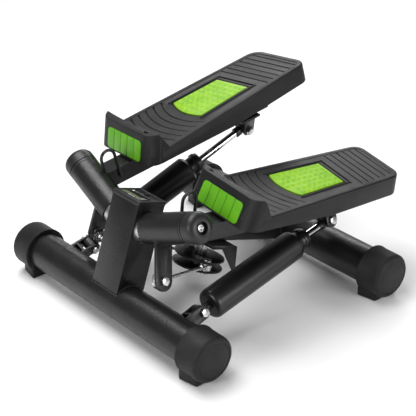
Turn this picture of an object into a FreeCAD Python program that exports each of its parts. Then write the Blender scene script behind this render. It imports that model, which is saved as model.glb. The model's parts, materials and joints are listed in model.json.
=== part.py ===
import FreeCAD, Part
import math
import os

V = FreeCAD.Vector

# ---- Base frame -----------------------------------------------------------
tube_radius = 30.0            # round cross tubes on the floor
tube_wall = 2.0
tube_spacing = 358.0          # front tube axis to rear tube axis
front_tube_y = -200.2
front_tube_length = 440.0
rear_tube_length = 462.0

post_width = 60.0             # rectangular upright on the front tube
post_depth = 52.0
post_wall = 2.5
post_length = 157.0           # front tube axis to the top of the post
post_lean = 18.8              # degrees, leaning to the rear

beam_width = 40.0             # central beam, square to the post
beam_height = 30.0
beam_wall = 2.0

# ---- Rubber feet ----------------------------------------------------------
foot_wall = 7.0
foot_radius = tube_radius + foot_wall
pad_drop = 4.0                # pad's face below the round foot
tube_height = foot_radius + pad_drop      # tube axes above the floor
foot_end_wall = 9.0
foot_grip_length = 36.0       # tube length held inside a foot
foot_rounding = 9.0
pad_length = 34.0             # flat pad under each foot
pad_inset = 13.0              # pad's outer end back from the foot's outer end
pad_half_inner = 29.0
pad_half_outer = 22.7

# ---- Swinging sleeves and their axles --------------------------------------
sleeve_on_post = 109.5        # front tube axis to the sleeve axes' crossing, along the post
sleeve_rise = 21.5            # degrees that each sleeve axis rises outward
sleeve_sweep = 4.1            # degrees that each sleeve axis turns to the rear
sleeve_radius = 24.0
sleeve_wall = 4.0
sleeve_bore = sleeve_radius - sleeve_wall
sleeve_start = 44.0           # distances along the sleeve axis from the crossing
sleeve_end = 134.0
axle_radius = 12.5
collar_step = 2.0             # fixed collar's radius below the sleeve's
bush_length = 20.0
running_gap = 0.06            # radial clearance of a turning fit
side_gap = 0.5                # end clearance of a turning fit

cap_length = 28.0             # domed end cap on each axle
cap_seat = 4.0                # depth of the axle's end in the cap
cap_dome = 11.0
cap_groove = 1.2
cap_recess_radius = 9.2
cap_recess_depth = 9.0
cap_screw_radius = 4.0
cap_screw_head = 5.6
cap_screw_socket = 2.8          # hexagon socket, centre to corner
cap_screw_socket_depth = 2.5
cap_screw_grip = 22.0

# ---- Pedal arms and footplates ---------------------------------------------
pedal_out = 106.3             # middle of the tread insert from the sleeve crossing, level pose
pedal_back = 245.7
pedal_up = 84.6
pedal_tilt = 4.4              # degrees, heel up
pedal_roll = 3.4              # degrees, outer edge down
pedal_swing = 18.8            # degrees between the two ends of a stroke

arm_width = 34.0
arm_height = 27.0
arm_wall = 2.0
arm_centre_x = 1.0            # in the footplate's own frame
arm_slope = 3.3               # degrees that the arm falls towards the heel
arm_drop = 33.5               # arm's mid line below the tread at arm_drop_at
arm_drop_at = -206.0
arm_tail = 96.0               # arm's rear end in the footplate's frame

plate_front = 172.5           # tread insert's middle to the footplate's front and rear
plate_back = 153.0
heel_skew = 8.0               # degrees that the heel end turns, longer on the inner side
plate_half_front = 74.0
plate_half_back = 58.0
plate_depth = 32.0            # skirt depth from the middle to the heel
nose_depth = 17.0             # skirt depth at the front
plate_wall = 3.5
deck_thickness = 7.0
plate_front_corner = 24.0
plate_back_corner = 20.0
guard_height = 28.0           # toe guard above the tread
guard_lean = 21.0             # degrees that the front face leans back
guard_back_lean = 24.0        # degrees that the guard's rear face leans to the front
guard_band = 35.0             # thickness of the guard at the tread, in its middle
guard_reach = 38.0            # and at its sides
plate_edge = 2.5              # rounding of the footplate's long edges
guard_edge = 4.0

insert_length = 94.0          # tread insert
insert_half_front = 38.0
insert_half_back = 34.0
insert_thickness = 2.4
insert_bulge = 9.0            # how far its front edge bows towards the toe
insert_proud = 0.6            # insert's top above the tread
insert_gap = 3.0              # recessed frame round the insert
toe_insert_width = 91.0
toe_insert_height = 33.0
toe_insert_thickness = 3.0
toe_insert_rise = 1.5         # its middle above the tread, up the leaning face
toe_insert_proud = 0.8        # its face ahead of the footplate's front
toe_insert_corner = 5.0
toe_groove_count = 4
toe_groove_width = 1.2
toe_groove_depth = 1.8

groove_width = 2.2
groove_depth = 1.6
groove_margin = 10.0          # smooth border beside the grooves
front_groove_count = 6
front_groove_start = 19.0     # first groove ahead of the tread insert's bowed edge
front_groove_pitch = 13.7
rear_groove_count = 6
rear_groove_start = 25.0      # first groove behind the tread insert
rear_groove_pitch = 12.8
frame_border = 6.5            # smooth border round the tread insert

screw_radius = 3.0            # screws holding the footplate on its arm
screw_head_radius = 6.0
screw_head_height = 3.5
screw_places = (-120.0, -20.0)
boss_half = 13.0

loop_wire = 2.5               # resistance band loop's wire radius
loop_spacing = 24.0
loop_top = 20.0               # top of the loop above the tread plane
loop_foot = -34.0
loop_place = -214.0

# ---- Levers, tie rods and rocker --------------------------------------------
lever_station = 74.4          # along the sleeve axis
lever_length = 76.4           # sleeve axis to the ball joint's bolt
lever_angle = -10.8           # degrees, towards the front
lever_width = 30.0
lever_thickness = 5.0
bolt_radius = 4.0
bolt_hex = 7.0                # across-corner radius of a hex head
bolt_head = 5.0
washer_thickness = 1.2
bolt_past_ball = 1.0
ball_radius = 6.5
ball_gap = 1.9                # clearance of the open ball joint
ball_ring_wall = 2.6
ball_ring_radius = ball_radius + ball_gap + ball_ring_wall
ball_ring_width = 7.0
ball_standoff = 10.5          # ball centre inside the lever's face
tie_radius = 2.8
tie_socket_radius = 4.6
tie_socket_length = 26.0
tie_rear_radius = 4.0         # swaged end next to the rocker
tie_rear_length = 18.0
tie_eye_width = 9.0
tie_eye_gap = 0.6             # the eye rocks a little on its pin
tie_eye_wall = 4.8
tie_eye_radius = bolt_radius + tie_eye_wall

rocker_along = 156.0          # sleeve crossing to the rocker's pivot, along the beam
rocker_drop = 44.0            # beam's mid line down to the upper plate's top
rocker_radius = 41.0
rocker_plate = 3.0
rocker_space = 13.0           # between the two rocker plates
rocker_pin_inset = 7.0        # pins' axes in from the rim
rocker_pin_place = rocker_radius - rocker_pin_inset
rocker_hub_radius = 12.0
rocker_bolt_radius = 5.0
rocker_spacer_radius = 10.0
rocker_nut_hex = 9.0
pin_head_height = 2.5
bracket_plate = 4.0
bracket_gap = 3.0
bracket_half = rocker_radius + bracket_gap      # rocker bracket's inner half width
bracket_cheek = 3.0
bracket_front = 22.0          # bracket plate ahead of and behind the pivot
bracket_back = 30.0
cheek_front = -4.0            # cheek's upper front corner from the pivot, along the beam
cheek_tip = 34.0
cheek_tip_width = 6.0
cheek_depth = 42.0
web_depth = 16.0

# ---- Hydraulic cylinders ------------------------------------------------------
low_pivot_inset = 50.0        # lower pivot: in from the front foot, back from and above the front tube
low_pivot_back = 52.8
low_pivot_up = 14.0
top_pivot = (2.0, 52.0, -85.0)   # upper pivot in the footplate's frame
cylinder_radius = 23.5
cylinder_wall = 3.5
cylinder_bore = cylinder_radius - cylinder_wall
cylinder_start = 19.0         # distances from the lower pivot
cylinder_end = 205.0
cylinder_floor = 8.0
cylinder_rounding = 7.0
gland_radius = 15.5
gland_depth = 12.0
gland_end = 227.0
gland_lip = 17.5
gland_lip_length = 7.0
gland_lip_start = 216.0
rod_radius = 6.0
piston_place = 34.0           # piston's lower face from the lower pivot with the pedal down
piston_length = 12.0
piston_rod_tip = 5.0
eye_wall = 6.5
eye_radius = bolt_radius + eye_wall
eye_width = 14.0              # lower eye
rod_eye_width = 12.4          # upper eye, which floats a little in its clevis
neck_radius = 5.8             # upper eye's neck and the collar that holds the rod
collar_start = 21.0           # distances below the upper eye's centre
collar_end = 11.8
rod_end = 15.5
eye_collar_radius = 8.0
low_neck_radius = 6.5
ear_gap = 1.0                 # side clearance beside an eye
ear_thickness = 4.0
open_pivot_gap = 1.2          # clearance of the open upper pivot
clevis_base_side = 2.4        # upper clevis's base past its ears, sideways and lengthways
clevis_base_end = 8.4
bracket_foot = 17.0           # lower bracket's cross plate behind the pivot

# ---- Console ----------------------------------------------------------------
console_overhang = 1.5
console_height = 7.0
console_plug = 18.0
console_gap = 0.3
console_corner = 4.0
lens_width = 40.0
lens_length = 22.0
lens_thickness = 1.6
lens_shift = -8.0             # lens middle from the post's middle, to the rear
button_radius = 4.5
button_gap = 0.25
button_shift = 14.0
button_travel = 1.2
button_proud = 1.8
button_depth = 5.0
sensor_size = (14.0, 24.0, 9.0)
sensor_place = 105.0          # along the beam from the sleeve crossing

cut_extra = 1.0               # how far a cutting tool runs past a face
tiny = 0.01


# ---- Directions and points that follow from the sizes ------------------------
def turned(vector, axis, degrees):
    return FreeCAD.Rotation(axis, degrees).multVec(vector)


def unit(vector):
    return V(vector).normalize()


x_dir = V(1, 0, 0)
y_dir = V(0, 1, 0)
z_dir = V(0, 0, 1)
oblique = V(0.3, 0.9, 0.2)    # parallel to no bolt, it only turns the hexagons
lean = math.radians(post_lean)
post_dir = V(0, math.sin(lean), math.cos(lean))
beam_dir = V(0, math.cos(lean), -math.sin(lean))
front_axis = V(0, front_tube_y, tube_height)
rear_axis = V(0, front_tube_y + tube_spacing, tube_height)
crossing = front_axis + post_dir * sleeve_on_post
rise = math.radians(sleeve_rise)
sweep = math.radians(sleeve_sweep)
sleeve_dir = V(math.cos(rise) * math.cos(sweep), math.cos(rise) * math.sin(sweep), math.sin(rise))
half_swing = pedal_swing / 2

# Footplate frame in the level pose of the right-hand pedal.
plate_turn = FreeCAD.Rotation(x_dir, pedal_tilt).multiply(FreeCAD.Rotation(y_dir, pedal_roll))
plate_origin = crossing + V(pedal_out, pedal_back, pedal_up)
plate_place = FreeCAD.Placement(plate_origin, plate_turn)


def plate_point(x, y, z):
    return plate_place.multVec(V(x, y, z))


def swung(point, degrees):
    """A right-hand point after its pedal has swung up by degrees from the level pose."""
    return crossing + turned(point - crossing, sleeve_dir, degrees)


low_pivot_out = front_tube_length / 2 - foot_grip_length - low_pivot_inset
low_pivot = V(low_pivot_out, front_tube_y + low_pivot_back, tube_height + low_pivot_up)
top_level = plate_point(*top_pivot)


def cylinder_dir(degrees):
    return unit(swung(top_level, degrees) - low_pivot)


def cylinder_length(degrees):
    return (swung(top_level, degrees) - low_pivot).Length


cylinder_hinge = unit(cylinder_dir(-half_swing).cross(cylinder_dir(half_swing)))

# Lever end in the level pose, and the rocker's pins.
down_dir = unit(-z_dir + sleeve_dir * z_dir.dot(sleeve_dir))
side_dir = sleeve_dir.cross(down_dir)
lever_turn = math.radians(lever_angle)
lever_dir = down_dir * math.cos(lever_turn) + side_dir * math.sin(lever_turn)
ball_station = lever_station - lever_thickness / 2 - ball_standoff
ball_level = crossing + sleeve_dir * ball_station + lever_dir * lever_length
rocker_mid = rocker_drop + rocker_plate + rocker_space / 2
rocker_centre = crossing + beam_dir * rocker_along - post_dir * rocker_mid


def pin_point(degrees):
    """The right-hand rocker pin with the rocker turned by degrees from its level pose."""
    return rocker_centre + turned(x_dir * rocker_pin_place, post_dir, degrees)


def rocker_rest_angle():
    """The rocker angle that makes both tie rods equally long with the right pedal down."""
    low, high = -60.0, 0.0
    for _ in range(60):
        middle = (low + high) / 2
        right = (swung(ball_level, -half_swing) - pin_point(middle)).Length
        left = (swung(ball_level, half_swing) - pin_point(-middle)).Length
        if right < left:
            low = middle
        else:
            high = middle
    return (low + high) / 2


rocker_rest = rocker_rest_angle()


# ---- Shape helpers ------------------------------------------------------------
def rod(radius, start, direction, length):
    return Part.makeCylinder(radius, length, start, direction)


def tube(outer, inner, start, direction, length):
    wall = rod(outer, start, direction, length)
    return wall.cut(rod(inner, start - direction * cut_extra, direction, length + 2 * cut_extra))


def axes_place(origin, x_axis, z_axis):
    y_axis = z_axis.cross(x_axis)
    return FreeCAD.Placement(origin, FreeCAD.Rotation(x_axis, y_axis, z_axis, "ZXY"))


def block(x_range, y_range, z_range):
    (x0, x1), (y0, y1), (z0, z1) = x_range, y_range, z_range
    return Part.makeBox(x1 - x0, y1 - y0, z1 - z0, V(x0, y0, z0))


def placed(shape, placement):
    moved = shape.copy()
    moved.Placement = placement.multiply(moved.Placement)
    return moved


def prism(points, z0, z1):
    """A straight prism on a polygon given as (x, y) pairs."""
    corners = [V(x, y, z0) for x, y in points]
    outline = Part.makePolygon(corners + corners[:1])
    return Part.Face(outline).extrude(V(0, 0, z1 - z0))


def rounded(shape, radius, test):
    """Rounds the edges that pass the test, by their middle point."""
    chosen = [edge for edge in shape.Edges if test(edge)]
    return shape.makeFillet(radius, chosen)


def edge_middle(edge):
    return edge.valueAt((edge.FirstParameter + edge.LastParameter) / 2)


def is_upright(edge):
    ends = [vertex.Point for vertex in edge.Vertexes]
    if len(ends) < 2:
        return False
    gap = ends[1] - ends[0]
    return abs(gap.x) < tiny and abs(gap.y) < tiny and abs(gap.z) > tiny


def hexagon(radius, start, direction, length):
    corners = [turned(x_dir * radius, z_dir, 60 * k) for k in range(6)]
    solid = Part.Face(Part.makePolygon(corners + corners[:1])).extrude(z_dir * length)
    side = unit(direction.cross(oblique))
    return placed(solid, axes_place(start, side, direction))


def union(shapes):
    return shapes[0].multiFuse(shapes[1:]).removeSplitter()


# ---- Base frame -----------------------------------------------------------------
def cross_tube(axis_point, length):
    bore = tube_radius - tube_wall
    return tube(tube_radius, bore, axis_point - x_dir * (length / 2), x_dir, length)


def tube_space(axis_point, length):
    return rod(tube_radius, axis_point - x_dir * (length / 2), x_dir, length)


post_frame = axes_place(front_axis, x_dir, post_dir)      # its y axis is the beam's direction
beam_frame = axes_place(crossing, x_dir, post_dir)


def post_outer():
    box = block((-post_width / 2, post_width / 2), (-post_depth / 2, post_depth / 2), (0, post_length))
    return placed(box, post_frame)


def upright_post():
    half_x = post_width / 2 - post_wall
    half_y = post_depth / 2 - post_wall
    hollow = block((-half_x, half_x), (-half_y, half_y), (-cut_extra, post_length + cut_extra))
    return post_outer().cut(placed(hollow, post_frame)).cut(tube_space(front_axis, front_tube_length))


def beam_reach():
    return (rear_axis.y - crossing.y) / beam_dir.y


def central_beam():
    half_x, half_z = beam_width / 2, beam_height / 2
    outer = block((-half_x, half_x), (post_depth / 2, beam_reach()), (-half_z, half_z))
    half_x, half_z = half_x - beam_wall, half_z - beam_wall
    hollow = block((-half_x, half_x), (post_depth / 2 - cut_extra, beam_reach() + cut_extra),
                   (-half_z, half_z))
    return placed(outer.cut(hollow), beam_frame).cut(tube_space(rear_axis, rear_tube_length))


def foot(axis_point, length, side):
    """A rubber foot on a tube end: a rounded cap with a flat pad under it."""
    start = length / 2 - foot_grip_length
    end = length / 2 + foot_end_wall
    body = rod(foot_radius, V(start, 0, 0), x_dir, end - start)
    body = rounded(body, foot_rounding, lambda edge: abs(edge_middle(edge).x - end) < tiny)
    pad_end = end - pad_inset
    pad_start = pad_end - pad_length
    pad = prism([(pad_start, -pad_half_inner), (pad_end, -pad_half_outer), (pad_end, pad_half_outer),
                 (pad_start, pad_half_inner)], -tube_height, 0)
    socket_start = min(start, pad_start) - cut_extra
    socket = rod(tube_radius, V(socket_start, 0, 0), x_dir, length / 2 - socket_start)
    solid = body.fuse(pad).cut(socket).removeSplitter()
    solid.translate(axis_point)
    return solid if side > 0 else solid.mirror(V(0, 0, 0), x_dir)


# ---- Sleeve group, built for the right-hand side in the level pose ----------------
def on_sleeve(distance):
    return crossing + sleeve_dir * distance


axle_end = sleeve_end + side_gap + cap_seat


def axle():
    shaft = rod(axle_radius, on_sleeve(0), sleeve_dir, axle_end)
    collar = rod(sleeve_radius - collar_step, on_sleeve(0), sleeve_dir, sleeve_start - side_gap)
    hole_start = on_sleeve(axle_end - cap_screw_grip)
    hole = rod(cap_screw_radius, hole_start, sleeve_dir, cap_screw_grip + cut_extra)
    left_of_middle = block((-post_width, 0), (-post_width, post_width), (-post_width, post_width))
    left_of_middle.translate(crossing)
    return shaft.fuse(collar).cut(post_outer()).cut(left_of_middle).cut(hole).removeSplitter()


def sleeve():
    return tube(sleeve_radius, sleeve_bore, on_sleeve(sleeve_start), sleeve_dir, sleeve_end - sleeve_start)


def sleeve_bushes():
    bore = axle_radius + running_gap
    inner = tube(sleeve_bore, bore, on_sleeve(sleeve_start), sleeve_dir, bush_length)
    outer = tube(sleeve_bore, bore, on_sleeve(sleeve_end - bush_length), sleeve_dir, bush_length)
    return Part.makeCompound([inner, outer])


def end_cap():
    start = sleeve_end + side_gap
    body = rod(sleeve_radius, V(0, 0, 0), z_dir, cap_length)
    body = rounded(body, cap_dome, lambda edge: abs(edge_middle(edge).z - cap_length) < tiny)
    groove_floor = sleeve_radius - cap_groove
    groove = tube(sleeve_radius + cut_extra, groove_floor, V(0, 0, cap_seat), z_dir, cap_groove)
    seat = rod(axle_radius, V(0, 0, -cut_extra), z_dir, cap_seat + cut_extra)
    recess_floor = cap_length - cap_recess_depth
    recess = rod(cap_recess_radius, V(0, 0, recess_floor), z_dir, cap_recess_depth + cut_extra)
    hole = rod(cap_screw_radius, V(0, 0, 0), z_dir, cap_length)
    body = body.cut(groove).cut(seat).cut(recess).cut(hole)
    return placed(body, axes_place(on_sleeve(start), unit(sleeve_dir.cross(z_dir)), sleeve_dir))


def cap_screw():
    floor = sleeve_end + side_gap + cap_length - cap_recess_depth
    shank_start = axle_end - cap_screw_grip
    shank = rod(cap_screw_radius, on_sleeve(shank_start), sleeve_dir, floor - shank_start)
    head = rod(cap_screw_head, on_sleeve(floor), sleeve_dir, bolt_head)
    socket_floor = floor + bolt_head - cap_screw_socket_depth
    socket = hexagon(cap_screw_socket, on_sleeve(socket_floor), sleeve_dir, bolt_head)
    return shank.fuse(head).cut(socket).removeSplitter()


def lever():
    start = on_sleeve(lever_station - lever_thickness / 2)
    half = lever_width / 2
    bar = block((0, lever_length), (-half, half), (0, lever_thickness))
    bar = bar.fuse(rod(half, V(lever_length, 0, 0), z_dir, lever_thickness))
    bar = bar.cut(rod(bolt_radius, V(lever_length, 0, -cut_extra), z_dir, lever_thickness + 2 * cut_extra))
    bar = placed(bar.removeSplitter(), axes_place(start, lever_dir, sleeve_dir))
    return bar.cut(rod(sleeve_radius, on_sleeve(0), sleeve_dir, sleeve_end))


def lever_bolt():
    """Bolt through the lever with the ball of the tie rod's joint on it."""
    line = on_sleeve(0) + lever_dir * lever_length
    inner_end = ball_station - ball_radius - bolt_past_ball
    outer_face = lever_station + lever_thickness / 2
    inner_face = lever_station - lever_thickness / 2
    shank = rod(bolt_radius, line + sleeve_dir * inner_end, sleeve_dir, outer_face - inner_end)
    head = hexagon(bolt_hex, line + sleeve_dir * outer_face, sleeve_dir, bolt_head)
    ball = Part.makeSphere(ball_radius, line + sleeve_dir * ball_station, sleeve_dir)
    washer_start = inner_face - washer_thickness
    washer = rod(bolt_hex, line + sleeve_dir * washer_start, sleeve_dir, washer_thickness)
    return union([shank, head, ball, washer])


# ---- Pedal arm and footplate, in the footplate's own frame --------------------------
def arm_frame():
    turn = FreeCAD.Rotation(x_dir, -arm_slope)
    return FreeCAD.Placement(V(arm_centre_x, arm_drop_at, -arm_drop), turn)


def sleeve_line_in_plate():
    inverse = plate_place.inverse()
    return inverse.multVec(crossing), inverse.Rotation.multVec(sleeve_dir)


def arm_box(inset, front, back):
    half_x, half_z = arm_width / 2 - inset, arm_height / 2 - inset
    return placed(block((-half_x, half_x), (front, back), (-half_z, half_z)), arm_frame())


arm_front = (sleeve_line_in_plate()[0] + sleeve_line_in_plate()[1] * sleeve_end).y - arm_drop_at
arm_back = arm_tail - arm_drop_at


def arm_top(y):
    """Height of the arm's upper face in the footplate's frame."""
    slope = math.radians(arm_slope)
    return -arm_drop - (y - arm_drop_at) * math.tan(slope) + arm_height / 2 / math.cos(slope)


def sleeve_space():
    base, direction = sleeve_line_in_plate()
    return rod(sleeve_radius, base, direction, sleeve_end + cap_length)


def arm_bottom(y):
    slope = math.radians(arm_slope)
    return arm_top(y) - arm_height / math.cos(slope)


def pedal_arm():
    hollow = arm_box(arm_wall, arm_front - cut_extra, arm_back + cut_extra)
    arm = arm_box(0, arm_front, arm_back).cut(hollow).cut(sleeve_space())
    for y in screw_places:
        start = V(arm_centre_x, y, arm_bottom(y) - arm_height)
        arm = arm.cut(rod(screw_radius, start, z_dir, 3 * arm_height))
    return arm


skew = math.tan(math.radians(heel_skew))
toe_frame = FreeCAD.Placement(V(0, -plate_front, 0), FreeCAD.Rotation(x_dir, -guard_lean))


def half_width_at(y):
    share = (y + plate_front) / (plate_front + plate_back)
    return plate_half_front + (plate_half_back - plate_half_front) * share


def plate_solid(inset, z0, z1):
    """The footplate's outline between two heights, with its leaning front and skewed heel."""
    front, back = -plate_front * 2, plate_back - inset
    half_front = half_width_at(front) - inset
    half_back = plate_half_back - inset
    outline = [(-half_front, front), (half_front, front), (half_back, back - half_back * skew),
               (-half_back, back + half_back * skew)]
    ahead = block((-half_front, half_front), (-plate_front * 2, inset), (-plate_front, plate_front))
    solid = prism(outline, z0, z1).cut(placed(ahead, toe_frame))

    def rises(edge):
        ends = [vertex.Point for vertex in edge.Vertexes]
        return abs(ends[1].z - ends[0].z) > tiny

    def at_front(edge):
        return rises(edge) and edge_middle(edge).y < 0

    def at_back(edge):
        return is_upright(edge) and edge_middle(edge).y > 0
    solid = rounded(solid, plate_front_corner - inset, at_front)
    return rounded(solid, plate_back_corner - inset, at_back)


def guard():
    """The raised toe guard: both faces lean together, and the rear one is a shallow arc."""
    solid = plate_solid(0, 0, guard_height)
    solid = rounded(solid, guard_edge, lambda edge: abs(edge_middle(edge).z - guard_height) < tiny)
    rear_turn = FreeCAD.Rotation(x_dir, guard_back_lean)
    rear_frame = FreeCAD.Placement(V(0, guard_reach - plate_front, 0), rear_turn)
    hollow_rise = guard_reach - guard_band
    hollow_radius = (plate_half_front ** 2 + hollow_rise ** 2) / (2 * hollow_rise)
    hollow_centre = V(0, hollow_radius - hollow_rise, -guard_height)
    length = plate_front + plate_back
    behind = block((-length, length), (0, length * 2), (-length, length))
    hollow = rod(hollow_radius, hollow_centre, z_dir, guard_height * 3)
    before = block((-length, length), (-length, 0), (-guard_height, guard_height * 2))
    return solid.cut(placed(behind, rear_frame)).cut(placed(hollow.common(before), rear_frame))


def insert_outline(gap):
    """Tread insert outline: straight sides, a skewed heel edge and a bowed front edge."""
    front, back = -insert_length / 2 - gap, insert_length / 2 + gap
    half_front, half_back = insert_half_front + gap, insert_half_back + gap
    left_front, left_back = V(-half_front, front, 0), V(-half_back, back + half_back * skew, 0)
    right_front, right_back = V(half_front, front, 0), V(half_back, back - half_back * skew, 0)
    bow = Part.Arc(left_front, V(0, front - insert_bulge, 0), right_front).toShape()
    sides = Part.makePolygon([right_front, right_back, left_back, left_front]).Edges
    return Part.Wire([bow] + sides)


def insert_solid(gap, z0, z1):
    solid = Part.Face(insert_outline(gap)).extrude(z_dir * (z1 - z0))
    solid.translate(z_dir * z0)
    return solid


def tread_insert():
    return insert_solid(0, -insert_thickness, insert_proud)


def toe_insert_block(y0, y1, corner):
    """In the toe frame, whose y starts at the leaning front face."""
    half_x, half_z = toe_insert_width / 2, toe_insert_height / 2
    solid = block((-half_x, half_x), (y0, y1), (toe_insert_rise - half_z, toe_insert_rise + half_z))

    def along_y(edge):
        ends = [vertex.Point for vertex in edge.Vertexes]
        return abs(ends[1].y - ends[0].y) > tiny
    return rounded(solid, corner, along_y)


def toe_insert():
    front = -toe_insert_proud
    panel = toe_insert_block(front, toe_insert_thickness, toe_insert_corner)
    pitch = toe_insert_width / (toe_groove_count + 1)
    for k in range(toe_groove_count):
        x = -toe_insert_width / 2 + pitch * (k + 1)
        groove = block((x - toe_groove_width / 2, x + toe_groove_width / 2),
                       (front - cut_extra, front + toe_groove_depth - toe_insert_proud),
                       (-toe_insert_height, toe_insert_height))
        panel = panel.cut(groove)
    return placed(panel, toe_frame)


def front_grooves():
    """Arcs round the same centre as the insert's bowed front edge."""
    tools = []
    bow_radius = (insert_half_front ** 2 + insert_bulge ** 2) / (2 * insert_bulge)
    bow_centre = V(0, bow_radius - insert_length / 2 - insert_bulge, 0)
    half = plate_half_front
    guard_end = guard_reach - plate_front
    window = block((-half, half), (guard_end, -insert_half_front), (-groove_depth, cut_extra))
    floor = bow_centre - z_dir * groove_depth
    for k in range(front_groove_count):
        radius = bow_radius + front_groove_start + front_groove_pitch * k
        ring = tube(radius + groove_width, radius, floor, z_dir, groove_depth + cut_extra)
        tools.append(ring.common(window))
    return tools


def rear_grooves():
    tools = []
    half = plate_half_front
    for k in range(rear_groove_count):
        y = insert_length / 2 + rear_groove_start + rear_groove_pitch * k
        bar = block((-half, half), (0, groove_width), (-groove_depth, cut_extra))
        tools.append(placed(bar, FreeCAD.Placement(V(0, y, 0), FreeCAD.Rotation(z_dir, -heel_skew))))
    return tools


def under_skirt():
    """What is left free below the skirt: it gets deeper from the front to the middle."""
    half = plate_half_front * 2
    slope = (plate_depth - nose_depth) / plate_front
    ahead, low = -plate_front * 2, -plate_depth * 2
    corners = [V(-half, 0, -plate_depth), V(-half, ahead, -plate_depth - slope * ahead),
               V(-half, ahead, low), V(-half, 0, low)]
    return Part.Face(Part.makePolygon(corners + corners[:1])).extrude(x_dir * half * 2)


def footplate():
    body = plate_solid(0, -plate_depth, 0)
    body = rounded(body, plate_edge, lambda edge: abs(edge_middle(edge).z) < tiny).cut(under_skirt())
    body = body.fuse(guard())
    body = body.cut(plate_solid(plate_wall, -plate_depth - cut_extra, -deck_thickness))
    boss_x = (arm_centre_x - boss_half, arm_centre_x + boss_half)
    boss_z = (-plate_depth, -deck_thickness)
    body = body.multiFuse([block(boss_x, (y - boss_half, y + boss_half), boss_z) for y in screw_places])
    keep_clear = insert_solid(frame_border, -groove_depth * 2, cut_extra * 2)
    field = plate_solid(groove_margin, -plate_depth, guard_height)
    for tool in front_grooves() + rear_grooves():
        body = body.cut(tool.common(field).cut(keep_clear))
    body = body.cut(insert_solid(insert_gap, -insert_thickness, cut_extra))
    toe_recess = toe_insert_block(-toe_insert_thickness, toe_insert_thickness, toe_insert_corner)
    body = body.cut(placed(toe_recess, toe_frame))
    body = body.cut(arm_box(0, arm_front, arm_back))
    for y in screw_places:
        low = -plate_depth - cut_extra
        body = body.cut(rod(screw_radius, V(arm_centre_x, y, low), z_dir, -deck_thickness - low))
    return body


def footplate_screws():
    screws = []
    for y in screw_places:
        top = -deck_thickness
        low = arm_bottom(y) - screw_head_height
        shank = rod(screw_radius, V(arm_centre_x, y, low), z_dir, top - low)
        head = rod(screw_head_radius, V(arm_centre_x, y, low), z_dir, screw_head_height * 2)
        screws.append(shank.fuse(head.cut(arm_box(0, arm_front, arm_back))).removeSplitter())
    return Part.makeCompound(screws)


def band_loop():
    """An upside-down U of round wire, welded to the arm's inner side."""
    x = arm_centre_x - arm_width / 2 - loop_wire
    half = loop_spacing / 2
    bend = loop_top - loop_wire - half
    left, right = V(x, loop_place - half, 0), V(x, loop_place + half, 0)
    legs = [Part.makeLine(left + z_dir * loop_foot, left + z_dir * bend)]
    arc = Part.Arc(left + z_dir * bend, V(x, loop_place, bend + half), right + z_dir * bend).toShape()
    legs.append(arc)
    legs.append(Part.makeLine(right + z_dir * bend, right + z_dir * loop_foot))
    path = Part.Wire(legs)
    section = Part.Wire(Part.makeCircle(loop_wire, left + z_dir * loop_foot, z_dir))
    return path.makePipeShell([section], True, True).cut(sleeve_space())


def rod_bracket():
    """The upper clevis: two ears and a base plate under the pedal arm."""
    reach = arm_height * 2
    inner, outer = eye_width / 2 + ear_gap, eye_width / 2 + ear_gap + ear_thickness
    plate_up = plate_turn.multVec(z_dir)
    up = unit(plate_up - cylinder_hinge * plate_up.dot(cylinder_hinge))
    ears = []
    for start in (inner, -outer):
        ear = block((0, reach), (-eye_radius, eye_radius), (start, start + ear_thickness))
        ear = ear.fuse(rod(eye_radius, V(0, 0, start), z_dir, ear_thickness))
        ear = ear.cut(rod(bolt_radius, V(0, 0, start - cut_extra), z_dir, ear_thickness + 2 * cut_extra))
        ears.append(placed(ear.removeSplitter(), axes_place(top_level, up, cylinder_hinge)))
    arm_place = plate_place.multiply(arm_frame())
    half_z = arm_height / 2
    pivot = arm_place.inverse().multVec(top_level)
    rising = arm_place.inverse().Rotation.multVec(up)
    root = pivot + rising * ((-half_z - pivot.z) / rising.z)      # where the ears' mid line meets the arm
    half_base_x, half_base_y = outer + clevis_base_side, eye_radius + clevis_base_end
    base = block((root.x - half_base_x, root.x + half_base_x), (root.y - half_base_y, root.y + half_base_y),
                 (-half_z - ear_thickness, -half_z))
    above = block((-reach, reach), (root.y - reach, root.y + reach), (-half_z, reach))
    return union([placed(base, arm_place)] + ears).cut(placed(above, arm_place))


def pivot_bolt(centre, direction):
    """Hex bolt and nut through the ears of a clevis."""
    half = eye_width / 2 + ear_gap + ear_thickness
    shank = rod(bolt_radius, centre - direction * half, direction, 2 * half)
    head = hexagon(bolt_hex, centre + direction * half, direction, bolt_head)
    nut = hexagon(bolt_hex, centre - direction * (half + bolt_head), direction, bolt_head)
    return union([shank, head, nut])


# ---- Hydraulic cylinder, built along its own axis -------------------------------------
def cylinder_frame(degrees):
    return axes_place(low_pivot, cylinder_hinge, cylinder_dir(degrees))


def cylinder_tube():
    """Body with its lower eye. The local z axis runs from the lower to the upper pivot."""
    body = rod(cylinder_radius, V(0, 0, cylinder_start), z_dir, cylinder_end - cylinder_start)
    body = rounded(body, cylinder_rounding, lambda edge: edge.Closed)
    eye = rod(eye_radius, V(-eye_width / 2, 0, 0), x_dir, eye_width)
    neck = rod(low_neck_radius, V(0, 0, 0), z_dir, cylinder_start + cylinder_floor / 2)
    body = union([body, eye, neck])
    body = body.cut(rod(cylinder_bore, V(0, 0, cylinder_start + cylinder_floor), z_dir, cylinder_end))
    return body.cut(rod(bolt_radius + running_gap, V(-eye_width, 0, 0), x_dir, 2 * eye_width))


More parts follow.
